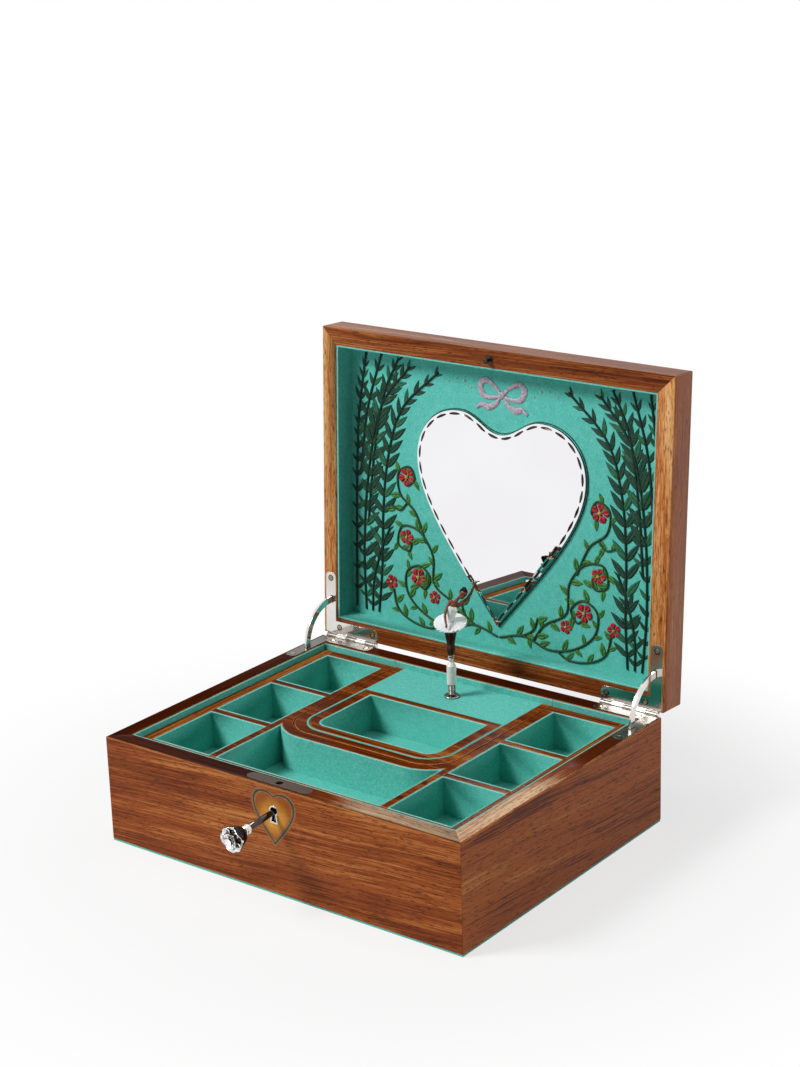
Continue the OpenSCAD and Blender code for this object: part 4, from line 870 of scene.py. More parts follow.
def outer_middles(node, out):
    """The middle of the outermost face of each separate solid in a node."""
    bm = bmesh.new()
    bm.from_mesh(frame["nodes"][node].data)
    bmesh.ops.remove_doubles(bm, verts=bm.verts, dist=MERGE)
    left, middles = set(bm.verts), []
    while left:
        group, edge = set(), [next(iter(left))]
        while edge:
            vert = edge.pop()
            if vert not in group:
                group.add(vert)
                edge += [e.other_vert(vert) for e in vert.link_edges]
        left -= group
        top = max(v.co.dot(out) for v in group)
        rim = [v.co for v in group if v.co.dot(out) > top - FLUSH]
        lows = [min(c[i] for c in rim) for i in range(3)]
        highs = [max(c[i] for c in rim) for i in range(3)]
        middles.append((Vector(lows) + Vector(highs)) / 2)
    bm.free()
    return sorted(middles, key=tuple)


def petal_cup(name, radius, finish, under_by=0.0):
    """Cupped rose petal along +X from its foot, round in outline, its lip rolled out, with thickness."""
    rows, cols = 15, 13
    widest = 0.55  # where along its length the petal is widest
    top, under = [], []
    for i in range(rows):
        t = math.sin(0.5 * math.pi * i / (rows - 1))
        if t < widest:
            half = radius * (0.34 + 0.46 * math.sin(0.5 * math.pi * t / widest))
        else:
            half = radius * max(0.8 * math.sqrt(max(1 - ((t - widest) / 0.45) ** 2, 0)), 0.14)
        for k in range(cols):
            s = 2 * k / (cols - 1) - 1
            # cupped across, hollowed along and, near its lip, rolled back
            cup = radius * (0.42 * s * s * (half / radius) - 0.28 * math.sin(math.pi * t * 0.9)
                            - 0.85 * max(t - 0.74, 0) * (1 - 0.5 * s * s))
            normal = Vector((0.1, -0.5 * s, 1)).normalized()
            p = Vector((radius * 1.05 * t, s * half, cup - under_by))
            thick = radius * 0.055 * (1 - 0.5 * t ** 6)
            top.append(p + normal * thick)
            under.append(p - normal * thick)
    faces = []
    n = rows * cols
    for i in range(rows - 1):
        for k in range(cols - 1):
            a, b, c, d = i * cols + k, i * cols + k + 1, (i + 1) * cols + k + 1, (i + 1) * cols + k
            faces += [(a, b, c, d), (n + d, n + c, n + b, n + a)]
    rim = (list(range(cols)) + [i * cols + cols - 1 for i in range(1, rows)]
           + [(rows - 1) * cols + k for k in range(cols - 2, -1, -1)]
           + [i * cols for i in range(rows - 2, 0, -1)])
    for a, b in zip(rim, rim[1:] + rim[:1]):
        faces.append((a, n + a, n + b, b))
    return new_mesh(name, top + under, faces, finish)


# ---------- settings ----------

def shade_of(name, what, value):
    """A colour setting, as an sRGB hex value."""
    return StringProperty(name=name, description="sRGB hex value of " + what, default=value, maxlen=7)


def length_of(name, what, value, low, high):
    """A length setting, given in millimetres."""
    return FloatProperty(name=name, description=what, default=value * MM, min=low * MM, max=high * MM,
                         unit="LENGTH")


def count_of(name, what, value, low, high):
    """A setting that counts."""
    return IntProperty(name=name, description=what, default=value, min=low, max=high)


class JewelleryColours(bpy.types.PropertyGroup):
    """Colours of the woods, suede and lid ornament."""
    wood_dark: shade_of("Veneer dark", "the veneer's dark streaks", "#4e2009")
    wood_mid: shade_of("Veneer middle", "the veneer's main colour", "#7a3916")
    wood_warm: shade_of("Veneer warm", "the veneer's warm bands", "#994e20")
    wood_light: shade_of("Veneer light", "the veneer's light streaks", "#bd7a40")
    # the lightest colour of the lid uprights' painted light
    wood_edge: shade_of("Lid upright highlight", "the lid uprights' lightest streaks", "#dcae7a")
    # the rim's pale corner is a painted highlight of glare
    rim_glare: shade_of("Rim corner glare", "the pale corner of the rim", "#e0bd9a")
    # the lid frame's colours are lighter than the veneer's: painted light on the lit uprights
    frame_dark: shade_of("Lid frame dark", "the lid frame's dark streaks", "#965120")
    frame_mid: shade_of("Lid frame middle", "the lid frame's main colour", "#b76c35")
    frame_light: shade_of("Lid frame light", "the lid frame's light streaks", "#d4975b")
    wood_pore: shade_of("Wood pores", "the open pores", "#321304")
    tray_dark: shade_of("Tray dark", "the tray wood's dark streaks", "#2b0b03")
    tray_mid: shade_of("Tray middle", "the tray wood's main colour", "#5c2408")
    tray_warm: shade_of("Tray warm", "the tray wood's warm bands", "#843a0e")
    tray_light: shade_of("Tray light", "the tray wood's light streaks", "#b97330")
    suede: shade_of("Suede", "the teal suede", "#5dc3b6")
    suede_shade: shade_of("Suede shade", "the suede's brushed-down nap", "#45a79a")
    suede_pale: shade_of("Suede pale", "the suede's raised nap", "#8ed2c8")
    # the folded edges' pale colour is a painted highlight
    suede_lip_highlight: shade_of("Suede fold highlight", "the suede's folded edges", "#c9f2ec")
    inlay: shade_of("Inlay", "the inlaid heart", "#bb7a2c")
    inlay_light: shade_of("Inlay light", "the middle of the inlaid heart", "#d39c46")
    inlay_edge: shade_of("Inlay edge", "the shaded edge of the inlaid heart", "#93521f")
    frond: shade_of("Fronds", "the fern fronds", "#1d4a35")
    frond_shade: shade_of("Frond shade", "the fern fronds' shadows", "#0d2a1f")
    leaf: shade_of("Leaves", "the garland's leaves", "#4f8f42")
    leaf_shade: shade_of("Leaf shade", "the leaves' darker parts", "#2b5f28")
    vine: shade_of("Vine", "the garland's cord", "#2b4f27")
    petal: shade_of("Petals", "the flowers", "#c4202c")
    petal_shade: shade_of("Petal shade", "the flowers' darker parts", "#8e1420")


class JewellerySizes(bpy.types.PropertyGroup):
    """Sizes and counts of the finished pieces."""
    wood_edge: length_of("Wood edge", "Easing of the wooden edges", 0.45, 0.1, 1)
    suede_edge: length_of("Suede edge", "Roundness of the suede's folded edges", 0.4, 0.2, 0.45)
    metal_edge: length_of("Metal edge", "Easing of the hinges' edges", 0.18, 0.05, 0.3)
    screw_crown: length_of("Screw crown", "Height of the screw heads' crown", 0.14, 0.05, 0.14)
    bevel: length_of("Mirror bevel", "Width of the mirror's bevel", 4.2, 2, 8)
    scallops: count_of("Scallops", "Scallops cut round the mirror's bevel", 38, 20, 60)
    coils: count_of("Coils", "Turns of the dancer's spring", 9, 5, 11)
    wire: length_of("Spring wire", "Radius of the spring's wire", 0.38, 0.2, 0.45)
    frills: count_of("Frills", "Frills round the tutu", 22, 10, 36)
    tutu_layers: count_of("Tutu layers", "Layers of net in the tutu", 3, 2, 6)
    leaflets: count_of("Leaflets", "Pairs of leaflets on a fern frond", 17, 8, 24)
    relief: length_of("Relief", "Height of the lid's applique", 0.9, 0.4, 1.5)


class JewelleryOperator:
    """What the box's operators share."""
    bl_options = {"REGISTER", "UNDO"}

    @property
    def sizes(self):
        """The sizes set for the box."""
        return bpy.context.scene.jewellery_sizes


# ---------- woodwork, linings and metal ----------

class JEWELLERY_OT_case(JewelleryOperator, bpy.types.Operator):
    """Veneers the outer walls, the lid and the boards"""
    bl_idname = "jewellery.case"
    bl_label = "Case and lid"

    def execute(self, context):
        """Gives each board the material whose grain runs its way, and eases the long edges in a painted highlight.
        """
        left, right = (-1, 0, 0), (1, 0, 0)
        for node, key, other, outward in (
            ("front_wall", "front_veneer", "rim_x", UP), ("back_wall", "back_veneer", "rim_x", UP),
            ("left_wall", "left_veneer", "rim_y", UP), ("right_wall", "right_veneer", "rim_y", UP),
            ("lid_left_wall", "lid_upright_lit", "lid_side", left),
            ("lid_right_wall", "lid_upright_lit", "lid_side", right),
            ("lid_front_wall", "lid_rail_shaded", None, UP), ("lid_back_wall", "lid_rail_shaded", None, UP),
            ("lid_veneer", "lid_veneer", None, UP),
        ):
            # of the base's walls only the longest edges are eased in a painted highlight, of the lid's the short
            # ones too
            eased_copy(node, material(key), self.sizes.wood_edge, edge=material("veneer_edge_highlight"),
                       other=material(other) if other else None, outward=outward,
                       longer=60 * MM if outward == UP and other else 12 * MM)
        for node in ("lid_board", "bottom_board"):
            finish_node(node, material("board"))
        return {"FINISHED"}


class JEWELLERY_OT_trays(JewelleryOperator, bpy.types.Operator):
    """Eases and lacquers the trays and the housing"""
    bl_idname = "jewellery.trays"
    bl_label = "Trays and housing"

    def execute(self, context):
        """Makes the tray boards with soft eased edges in a painted highlight."""
        for node in ("tray_side_walls", "tray_end_walls", "tray_notch_wall", "tray_dividers",
                     "housing_frame", "centre_tray_frame"):
            key = "tray_y" if node == "tray_side_walls" else "tray_x"
            eased_copy(node, material(key), self.sizes.wood_edge, edge=material("tray_edge_highlight"))
        for node in ("recess_floor", "panel_supports", "movement_panel", "tray_floor", "centre_tray_floor"):
            finish_node(node, material("board"))
        return {"FINISHED"}


class JEWELLERY_OT_linings(JewelleryOperator, bpy.types.Operator):
    """Lines the box, trays and lid with suede folded over card"""
    bl_idname = "jewellery.linings"
    bl_label = "Linings"

    def execute(self, context):
        """Makes the suede linings with their folded edges in a painted highlight, and the baize under the box."""
        for node in ("base_lining", "floor_lining", "tray_rails", "housing_lining", "tray_lining",
                     "centre_tray_lining", "lid_lining"):
            key = "lid_suede" if node == "lid_lining" else "suede"
            # the folded edges take the suede's painted highlight
            eased_copy(node, material(key), self.sizes.suede_edge, segments=3,
                       edge=material("suede_lip_highlight"))
        eased_copy("bottom_felt", material("felt"), 0.5 * MM, segments=3)
        return {"FINISHED"}


class JEWELLERY_OT_metalwork(JewelleryOperator, bpy.types.Operator):
    """Finishes the hinges, stays, screws, lock and movement"""
    bl_idname = "jewellery.metalwork"
    bl_label = "Metalwork"

    # nodes that keep their own shape, by material
    KEPT = {
        "nickel": ("hinge_pins", "winding_key", "dancer_spindle"),
        "screw": ("base_hinge_screws", "lid_hinge_screws"),
        # the plated catch stud takes the dark bronze as painted shade
        "bronze": ("catch_stud",),
        "steel": ("lock_case", "lock_bolt", "movement_screws", "tone_comb", "governor"),
        "brass": ("bedplate", "cylinder_brackets", "spring_barrel", "pinned_cylinder"),
        "inlay": ("heart_inlay",),
        "white_plastic": ("dancer_post",),
    }

    def execute(self, context):
        """Eases the plated parts that show and gives the rest their metals."""
        # the base's hinge leaves and the spring's bush take nickel dimmed as painted shade
        for node, key in {"base_hinge_leaves": "satin_nickel_dimmed", "lid_hinge_leaves": "nickel",
                          "stay_arms": "nickel", "flange_bush": "spring_nickel_dimmed",
                          "escutcheon": "key_nickel"}.items():
            eased_copy(node, material(key), self.sizes.metal_edge)
        self.screw_heads("base_hinge_screws", "box", Vector(UP))
        self.screw_heads("lid_hinge_screws", "lid", (in_lid(0, 0, 0) - in_lid(0, 0, 1)).normalized())
        eased_copy("lock_plate", material("bronze"), self.sizes.metal_edge)
        for key, nodes in self.KEPT.items():
            for node in nodes:
                finish_node(node, material(key))
        return {"FINISHED"}

    def screw_heads(self, node, body, out):
        """Sets a crowned head with a cross recess on each screw, and a dark disc under its rim: the painted shadow
        round it.
        """
        turn = out.to_track_quat("Z", "Y").to_euler()
        places = [(place, turn, 1.0) for place in outer_middles(node, out)]
        head = oval_head("head", 2.0 * MM, self.sizes.screw_crown, material("screw"))
        heads = repeated(node + "_crowns", head, places, material("screw"))
        # a dark disc under each head's rim: the painted shadow round the head
        gap = lathe("gap", [(0.0002, -0.0001), (0.0024, -0.0001), (0.0024, 0.00003), (0.0002, 0.00003)],
                    ORIGIN, UP, material("painted_shade"))
        shadow_discs = repeated(node + "_gaps", gap, places, material("painted_shade"))
        mount(joined(node + "_heads", [heads, shadow_discs]), body)


# ---------- key and mirror ----------

class JEWELLERY_OT_key(JewelleryOperator, bpy.types.Operator):
    """Makes the key with its rose bow"""
    bl_idname = "jewellery.key"
    bl_label = "Key"

    # radius and distance from the key's pivot, in metres
    COLLARS = [(0.0021, 0.0290), (0.0026, 0.0296), (0.0034, 0.0302), (0.0036, 0.0309), (0.0034, 0.0316),
               (0.0026, 0.0322), (0.0024, 0.0328), (0.0031, 0.0333), (0.0034, 0.0339), (0.0031, 0.0345),
               (0.0023, 0.0350)]
    CALYX = [(0.0022, 0.0350), (0.0040, 0.0360), (0.0058, 0.0380), (0.0068, 0.0406), (0.0070, 0.0430),
             (0.0064, 0.0450), (0.0048, 0.0462), (0.0008, 0.0468)]
    # rings of petals: how many, how far out and how far on in millimetres, size, lean, and the first
    # petal's angle as a share of a step
    PETALS = ((5, 1.5, 0.2, 1.0, 0.16, 0.1), (4, 0.9, 1.0, 0.66, 0.55, 0.6), (3, 0.4, 1.9, 0.42, 1.0, 0.2))
    ROSE = 46.0  # millimetres from the key's pivot to the rose's heart

    def execute(self, context):
        """Turns the shank and collars, and sets cupped petals in rings for the bow."""
        side = Vector((1, 0, 0))
        to_world = Matrix((side, KEY_AXIS.cross(side).normalized(), KEY_AXIS)).transposed()
        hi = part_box("key")[1]
        tip = -abs((hi.y - KEY_PIVOT.y) / KEY_AXIS.y) + 0.0002
        # the shank's steel is coloured dark as a painted dark reflection
        steel, bright, dark = material("shank"), material("petal_nickel"), material("painted_shade")
        shank = lathe("key_shank", [(0.0021, tip), self.COLLARS[0]], KEY_PIVOT, KEY_AXIS, steel)
        collars = lathe("key_collars", self.COLLARS, KEY_PIVOT, KEY_AXIS, material("key_nickel"))
        bit = [KEY_PIVOT + to_world @ Vector((x, y, z)) * MM for z in (-3.9, -0.7)
               for x, y in ((-0.8, -6.5), (0.8, -6.5), (0.8, -1), (-0.8, -1))]
        flag = new_mesh("key_bit", bit, [
            (0, 1, 2, 3), (4, 7, 6, 5), (0, 4, 5, 1), (1, 5, 6, 2), (2, 6, 7, 3), (3, 7, 4, 0)],
            steel, smooth=False)
        points = []
        for count, out, z, size, lean, start in self.PETALS:
            for i in range(count):
                a = (i + start) * 2 * math.pi / count
                local = Vector((out * math.cos(a), out * math.sin(a), self.ROSE + z)) * MM
                turn = to_world @ (Matrix.Rotation(a, 3, "Z") @ Matrix.Rotation(-lean, 3, "Y"))
                points.append((KEY_PIVOT + to_world @ local, turn.to_euler(), size))
        petals = repeated("key_petals", petal_cup("petal", 7.1 * MM, bright), points, bright)
        # a wider petal in painted shade under each bright one draws its outline as a dark line
        shades = repeated("key_recesses", petal_cup("shade", 7.35 * MM, dark, 0.35 * MM), points, dark)
        # the calyx behind the rose is in painted shade too
        calyx = lathe("key_calyx", self.CALYX, KEY_PIVOT, KEY_AXIS, dark)
        key = joined("rose_key", [shank, collars, flag, petals, shades, calyx])
        mount(key, "key", ["key"])
        return {"FINISHED"}


class JEWELLERY_OT_mirror(JewelleryOperator, bpy.types.Operator):
    """Cuts the heart mirror with its scalloped bevel"""
    bl_idname = "jewellery.mirror"
    bl_label = "Heart mirror"

    def execute(self, context):
        """Faces the heart flat and grinds a ring of lens-shaped scallops into its bevel."""
        lo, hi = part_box("heart_mirror")
        height = min((hi.z - lo.z) / math.sin(LID_OPEN) - 0.0001, MIRROR_TALL * MM)
        foot, front, thickness, fall = MIRROR_TIP * MM, LINING_FACE - 3.0 * MM, 3.0 * MM, 0.5 * MM
        step = 8  # points of the outline to a scallop
        outline = evenly(heart_loop(height, SOFT_CLEFT), self.sizes.scallops * step)
        middle = Vector((0, 0.6 * height))  # the bevel is cut along spokes from here
        count = len(outline)
        # from the flat outwards: its edge, the lens cut with its deepest line, the outer edge; then the back
        loops = [[] for _ in range(6)]
        for k, p in enumerate(outline):
            run = outline[(k + 1) % count] - p
            spoke = (p - middle).normalized()
            # the bevel is as wide square to the edge everywhere, but for where a spoke runs along the edge
            width = self.sizes.bevel / max(spoke.dot(Vector((run.y, -run.x)).normalized()), 0.55)
            # the lens opens between one scallop's start and the next
            lens = math.sin(math.pi * (k % step) / step)
            for loop, share, sunk in zip(loops, (1.0, 0.55 + 0.22 * lens, 0.53, 0.51 - 0.22 * lens, 0.0),
                                         (0.0, 0.0, 0.3 * lens, 0.0, 0.0)):
                q = p - spoke * width * share
                loop.append(in_lid(q.x, foot + q.y, front + fall * (1 - share) + sunk * MM))
            loops[5].append(in_lid(p.x, foot + p.y, front + thickness))
        first, last = ends(count, 6)
        # the lens cuts take the bevel's painted dark reflection
        kinds = [0] + [1 if level in (1, 2) and 0 < k % step < step - 1 else 0
                       for level in range(5) for k in range(count)] + [0]
        mirror = new_mesh("heart_mirror_glass", [v for loop in loops for v in loop],
                          [first, *between(count, 6), last], material("mirror"), smooth=False)
        mirror.data.materials.append(material("mirror_cut_painted_dark"))
        mirror.data.polygons.foreach_set("material_index", kinds)
        mount(mirror, "lid", ["heart_mirror"])
        # a dark-green cord round the mirror's edge stands in for the shadow line there: a painted shadow
        ring = [middle + (p - middle) * (1 + 0.9 * MM / (p - middle).length) for p in outline[::2]]
        shadow_line = [(in_lid(q.x, foot + q.y, LINING_FACE - 0.3 * MM), 1) for q in ring + ring[:1]]
        mount(swept("mirror_piping", [shadow_line], 0.4 * MM, material("frond")), "lid")
        return {"FINISHED"}


class JEWELLERY_OT_stringing(JewelleryOperator, bpy.types.Operator):
    """Lets the lines of stringing in round the heart on the front"""
    bl_idname = "jewellery.stringing"
    bl_label = "Heart stringing"

    def execute(self, context):
        """Lays five lines of dyed veneer side by side, flush with the front."""
        lo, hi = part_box("heart_stringing")
        inner_lo, inner_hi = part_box("heart_inlay")
        height = hi.z - lo.z
        # an inset by one width takes 2.1 widths off the heart's height and lifts its tip by 1.25
        loss, lift = 2.1, 1.25
        width = (height - (inner_hi.z - inner_lo.z)) / loss
        loops = []
        for share, y in ((0, hi.y), (0, lo.y), (0.2, lo.y), (0.38, lo.y), (0.66, lo.y), (0.82, lo.y),
                         (1, lo.y), (1, hi.y)):
            shrink = width * share
            loop = evenly(heart_loop(height - loss * shrink, SHARP_CLEFT), 168)
            loops.append([Vector((p.x, y, lo.z + lift * shrink + p.y)) for p in loop])
        red, olive, black = material("string_red"), material("string_olive"), material("string_black")
        ring = banded_ring("heart_lines", loops, (red, red, olive, black, olive, red, red))
        mount(ring, "box", ["heart_stringing"])
        return {"FINISHED"}


# ---------- lid ornament ----------

def on_panel(x, s, n=0.0):
    """World place on the lid's suede: x across, s up from the hinge line, n off the suede, all in mm."""
    return in_lid(x * MM, s * MM, LINING_FACE - n * MM)


def facing(angle):
    """Turn of a shape that lies on the lid's suede with its +X at an angle in the panel's plane."""
    return (lid_turn() @ Matrix.Rotation(angle, 3, "Z")).to_euler()


def along(line, share):
    """Place and heading at a share of a flat line's points."""
    at = share * (len(line) - 1)
    i = min(int(at), len(line) - 2)
    p = line[i].lerp(line[i + 1], at - i)
    run = line[i + 1] - line[i]
    return p, math.atan2(run.y, run.x)


def run_of(line):
    """Length of a line."""
    return sum((b - a).length for a, b in zip(line, line[1:]))


def cord(line, proud, thick, loss):
    """A line laid on the lid's suede that grows thinner to its end."""
    return [(on_panel(p.x, p.y, proud), thick - loss * i / len(line)) for i, p in enumerate(line)]


def tip_of(p, angle, length, size):
    """Where a leaf of some length and size ends that grows from p at an angle."""
    return p + Vector((math.cos(angle), math.sin(angle), 0)) * length * size


def curve(points, side=1, steps=12):
    """Smooth flat line through (x, s) points, or its likeness on the other side."""
    return spline([(side * x, s, 0) for x, s in points], steps)


class JEWELLERY_OT_ferns(JewelleryOperator, bpy.types.Operator):
    """Applies the tall fern fronds at the sides of the lid"""
    bl_idname = "jewellery.ferns"
    bl_label = "Lid ferns"

    # each stem's points and its leaflets' reach, in millimetres
    STEMS = [([(122, 21), (124, 70), (120, 128), (108, 180), (82, 213)], 21.0),
             ([(110, 21), (107, 58), (106, 104), (101, 146), (88, 182), (56, 212)], 19.0),
             ([(131, 22), (131, 110), (129, 170), (122, 219)], 14.0),
             ([(116, 21), (115, 44), (108, 70), (100, 88)], 13.0),
             ([(120, 90), (115, 140), (106, 188), (92, 218)], 16.0),
             ([(127, 130), (121, 176), (108, 219)], 14.0)]
    LEAF = 20  # a leaflet's length before it is sized

    def execute(self, context):
        """Sweeps the ribs and sets tapering pairs of leaflets along them."""
        rng = random.Random(7)
        points, ribs = [], []
        for side in (-1, 1):
            for stem, reach in self.STEMS:
                line = curve(stem, side)
                ribs.append(cord(line, 0.35, 1.25, 0.9))
                # the setting is for a stem of 190 mm
                count = max(int(self.sizes.leaflets * run_of(line) / 190), 6)
                for i in range(count):
                    t = 0.05 + 0.93 * i / (count - 1)
                    p, heading = along(line, t)
                    size = reach / self.LEAF * math.sin(math.pi * (0.2 + 0.72 * t)) ** 0.7
                    for turn in (-1, 1):
                        angle = heading + turn * math.radians(48 - 22 * t + rng.uniform(-4, 4))
                        tip = tip_of(p, angle, self.LEAF, size)
                        if abs(tip.x) > 133 or tip.y > 221 or tip.y < 19:  # it would leave the suede
                            size *= 0.55
                        points.append((on_panel(p.x, p.y, 0.05), facing(angle),
                                       size * rng.uniform(0.9, 1.05)))
        # every fifth leaflet takes the lighter green of a painted highlight
        for name, key, chosen in (("fern_leaflets", "frond", [p for i, p in enumerate(points) if i % 5]),
                                  ("fern_leaflets_light", "frond_highlight", points[::5])):
            leaf = domed_leaf("leaflet", self.LEAF * MM, 6.0 * MM, self.sizes.relief, 0.75, material(key))
            mount(repeated(name, leaf, chosen, material(key)), "lid")
        mount(swept("fern_ribs", ribs, 0.9 * MM, material("frond_rib")), "lid")
        return {"FINISHED"}


class JEWELLERY_OT_garland(JewelleryOperator, bpy.types.Operator):
    """Applies the scrolling garland with its leaves and five-petalled flowers"""
    bl_idname = "jewellery.garland"
    bl_label = "Lid garland"

    SCROLLS = [[(1, 23), (22, 28), (44, 22), (66, 27), (82, 40), (84, 57), (72, 64), (62, 56), (67, 47),
                (73, 50)],
               [(30, 26), (40, 40), (58, 52), (60, 74), (72, 90), (88, 92), (92, 78), (82, 74), (79, 81)],
               [(66, 82), (76, 104), (90, 116), (92, 132), (82, 138), (77, 130), (82, 124)],
               [(50, 23), (62, 17.5), (80, 20), (92, 28), (96, 42)],
               [(20, 27.5), (30, 34), (34, 44)],
               [(84, 110), (90, 104), (97, 106)]]
    # each flower's place and radius; the petal and the bead are drawn for a radius of 6
    FLOWERS = [(73, 55, 6.3), (84, 84, 5.4), (84, 130, 6.6), (98, 47, 5.0), (58, 42, 4.6)]
    LEAF = 12  # a leaf's length before it is sized

    def execute(self, context):
        """Sweeps the cords, sets leaves to both sides and lays the flowers."""
        rng = random.Random(11)
        relief = self.sizes.relief
        cords, leaves, petals, hearts = [], [], [], []
        for side, scroll in [(side, scroll) for side in (-1, 1) for scroll in self.SCROLLS]:
            line = curve(scroll, side)
            cords.append(cord(line, 0.4, 1.1, 0.6))
            count = max(int(run_of(line) / 7.5), 2)  # a leaf every 7.5 mm
            for i in range(count):
                p, heading = along(line, (i + 0.6) / count)
                turn = 1 if i % 2 else -1
                angle = heading + turn * math.radians(rng.uniform(38, 66))
                size = rng.uniform(0.62, 0.92)
                tip = tip_of(p, angle, self.LEAF, size)
                if tip.y < 18 or self.near_mirror(tip) or self.near_flower(tip):
                    continue
                leaves.append((on_panel(p.x, p.y, 0.1), facing(angle), size))
        for side, (x, s, r) in [(side, flower) for side in (-1, 1) for flower in self.FLOWERS]:
            start = rng.uniform(0, 1)
            for i in range(5):
                angle = (i + start) * 2 * math.pi / 5
                foot = on_panel(side * x + 0.12 * r * math.cos(angle), s + 0.12 * r * math.sin(angle), 0.2)
                petals.append((foot, facing(angle), r / 6))
            hearts.append((on_panel(side * x, s, 0.7), facing(0), r / 6))
        rib = domed_leaf("leaf_rib", 11 * MM, 0.8 * MM, relief * 0.85, 0.6, material("vine"))
        leaf = domed_leaf("garland_leaf", self.LEAF * MM, 5.6 * MM, relief, 0.8, material("leaf"))
        petal = domed_leaf("flower_petal", 6.2 * MM, 5.8 * MM, relief * 1.1, 1.7, material("petal"))
        bead = lathe("flower_heart", [(0.0002, 0.0), (0.0014, 0.0001), (0.0013, 0.0006), (0.0008, 0.0010),
                                      (0.0002, 0.0011)], ORIGIN, UP, material("pollen"), sides=10)
        for name, shape, points, key in (("garland_leaves", leaf, leaves, "leaf"),
                                         ("garland_leaf_ribs", rib, leaves, "vine"),
                                         ("garland_petals", petal, petals, "petal"),
                                         ("garland_hearts", bead, hearts, "pollen")):
            mount(repeated(name, shape, points, material(key)), "lid")
        mount(swept("garland_cords", cords, 0.85 * MM, material("vine")), "lid")
        return {"FINISHED"}

    def near_mirror(self, p):
        """True where a leaf would reach under the mirror."""
        # all as shares of the mirror's height, with a little room round its edge
        across = abs(p.x) / MIRROR_TALL
        up = (p.y - MIRROR_TIP) / MIRROR_TALL
        edge = heart_loop(1, SOFT_CLEFT, 12)
        return any(q.x > across - 0.012 and abs(q.y - up) < 0.03 for q in edge) and up < 0.97

    def near_flower(self, p):
        """True where a leaf would reach under a flower."""
        return any((abs(p.x) - x) ** 2 + (p.y - s) ** 2 < (r * 0.8) ** 2 for x, s, r in self.FLOWERS)


class JEWELLERY_OT_bow(JewelleryOperator, bpy.types.Operator):
    """Applies the ribbon bow over the mirror"""
    bl_idname = "jewellery.bow"
    bl_label = "Lid bow"

    LOOP = ((1, 203), (6, 208), (14, 212), (19, 208), (16, 201), (8, 200), (1, 202))
    TAIL = ((1, 202), (5, 196), (12, 192.5), (17, 194), (22, 191))
    # places across the ribbon, each with its height off the suede
    SECTION = ((-1, 0.0), (-0.85, 0.5), (0, 0.75), (0.85, 0.5), (1, 0.0))
    STUDS = ((27, 205, 0.7), (33, 209, 0.9), (40, 210, 0.7), (47, 207, 0.55), (30, 214, 0.5))

    def execute(self, context):
        """Lays two loops, two tails, a knot and a row of small studs."""
        finish = material("ribbon")
        verts, faces = [], []
        row = len(self.SECTION)
        for line in [curve(band, side, 8) for side in (-1, 1) for band in (self.LOOP, self.TAIL)]:
            start = len(verts)
            for i, p in enumerate(line):
                run = heading_at(line, i)
                half = 1.9 - 0.7 * math.cos(2 * math.pi * i / (len(line) - 1))  # wider in the middle
                out = Vector((-run.y, run.x, 0)) * half
                verts += [on_panel(p.x + out.x * k, p.y + out.y * k, h + 0.02) for k, h in self.SECTION]
            for i in range(len(line) - 1):
                for k in range(row):
                    a, b = start + i * row + k, start + i * row + (k + 1) % row
                    faces.append((a, b, b + row, a + row))
            faces += [tuple(start + k for k in face) for face in ends(row, len(line))]
        loops = new_mesh("bow_ribbon", verts, faces, finish)
        out = (on_panel(0, 0, 1) - on_panel(0, 0, 0)).normalized()
        knot = lathe("bow_knot", [(0.0002, -0.0002), (0.0026, 0.0), (0.0024, 0.0009), (0.0014, 0.0013),
                                  (0.0002, 0.0014)], on_panel(0, 202.5), out, finish, sides=18)
        studs = [(on_panel(side * x, s, 0.05), facing(0), size)
                 for side in (-1, 1) for x, s, size in self.STUDS]
        bead = lathe("stud", [(0.0001, 0.0), (0.0011, 0.0), (0.0009, 0.0005), (0.0001, 0.0008)], ORIGIN, UP,
                     finish, sides=10)
        bow = joined("ribbon_bow", [loops, knot, repeated("bow_studs", bead, studs, finish)])
        mount(bow, "lid")
        return {"FINISHED"}


# ---------- dancer ----------

class JEWELLERY_OT_spring(JewelleryOperator, bpy.types.Operator):
    """Winds the coil spring that the dancer stands on"""
    bl_idname = "jewellery.spring"
    bl_label = "Dancer's spring"

    def execute(self, context):
        """Sweeps the wire round its coils."""
        lo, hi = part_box("dancer_spring")
        wire = self.sizes.wire
        radius = (hi.x - lo.x) / 2 - wire
        round_steps = 24
        steps = self.sizes.coils * round_steps
        line = []
        for i in range(steps + 1):
            a = 2 * math.pi * i / round_steps
            z = lo.z + wire + (hi.z - lo.z - 2 * wire) * i / steps
            line.append((Vector((DANCER.x + radius * math.cos(a), DANCER.y + radius * math.sin(a), z)), 1.0))
        # the spring's nickel is dimmed as painted shade
        spring = swept("coil_spring", [line], wire, material("spring_nickel_dimmed"), sides=10)
        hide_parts("dancer_spring")
        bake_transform(spring)
        return {"FINISHED"}


HEAD_TILT = 24  # degrees to the raised hand
HEAD = Matrix.Translation((9.5, -0.2, 50.9)) @ Matrix.Rotation(math.radians(HEAD_TILT), 4, "Y")
HEAD_SIZE = 1.13  # against the millimetres that the head's parts are drawn in
UPRIGHT = (0, HEAD_TILT, 0)


def of_head(place, radii, turn=UPRIGHT, sides=20):
    """One rounded part of the head, from its place and radii before the head's own scale."""
    return egg(tuple(HEAD @ (Vector(place) * HEAD_SIZE)), tuple(r * HEAD_SIZE for r in radii), turn, sides)


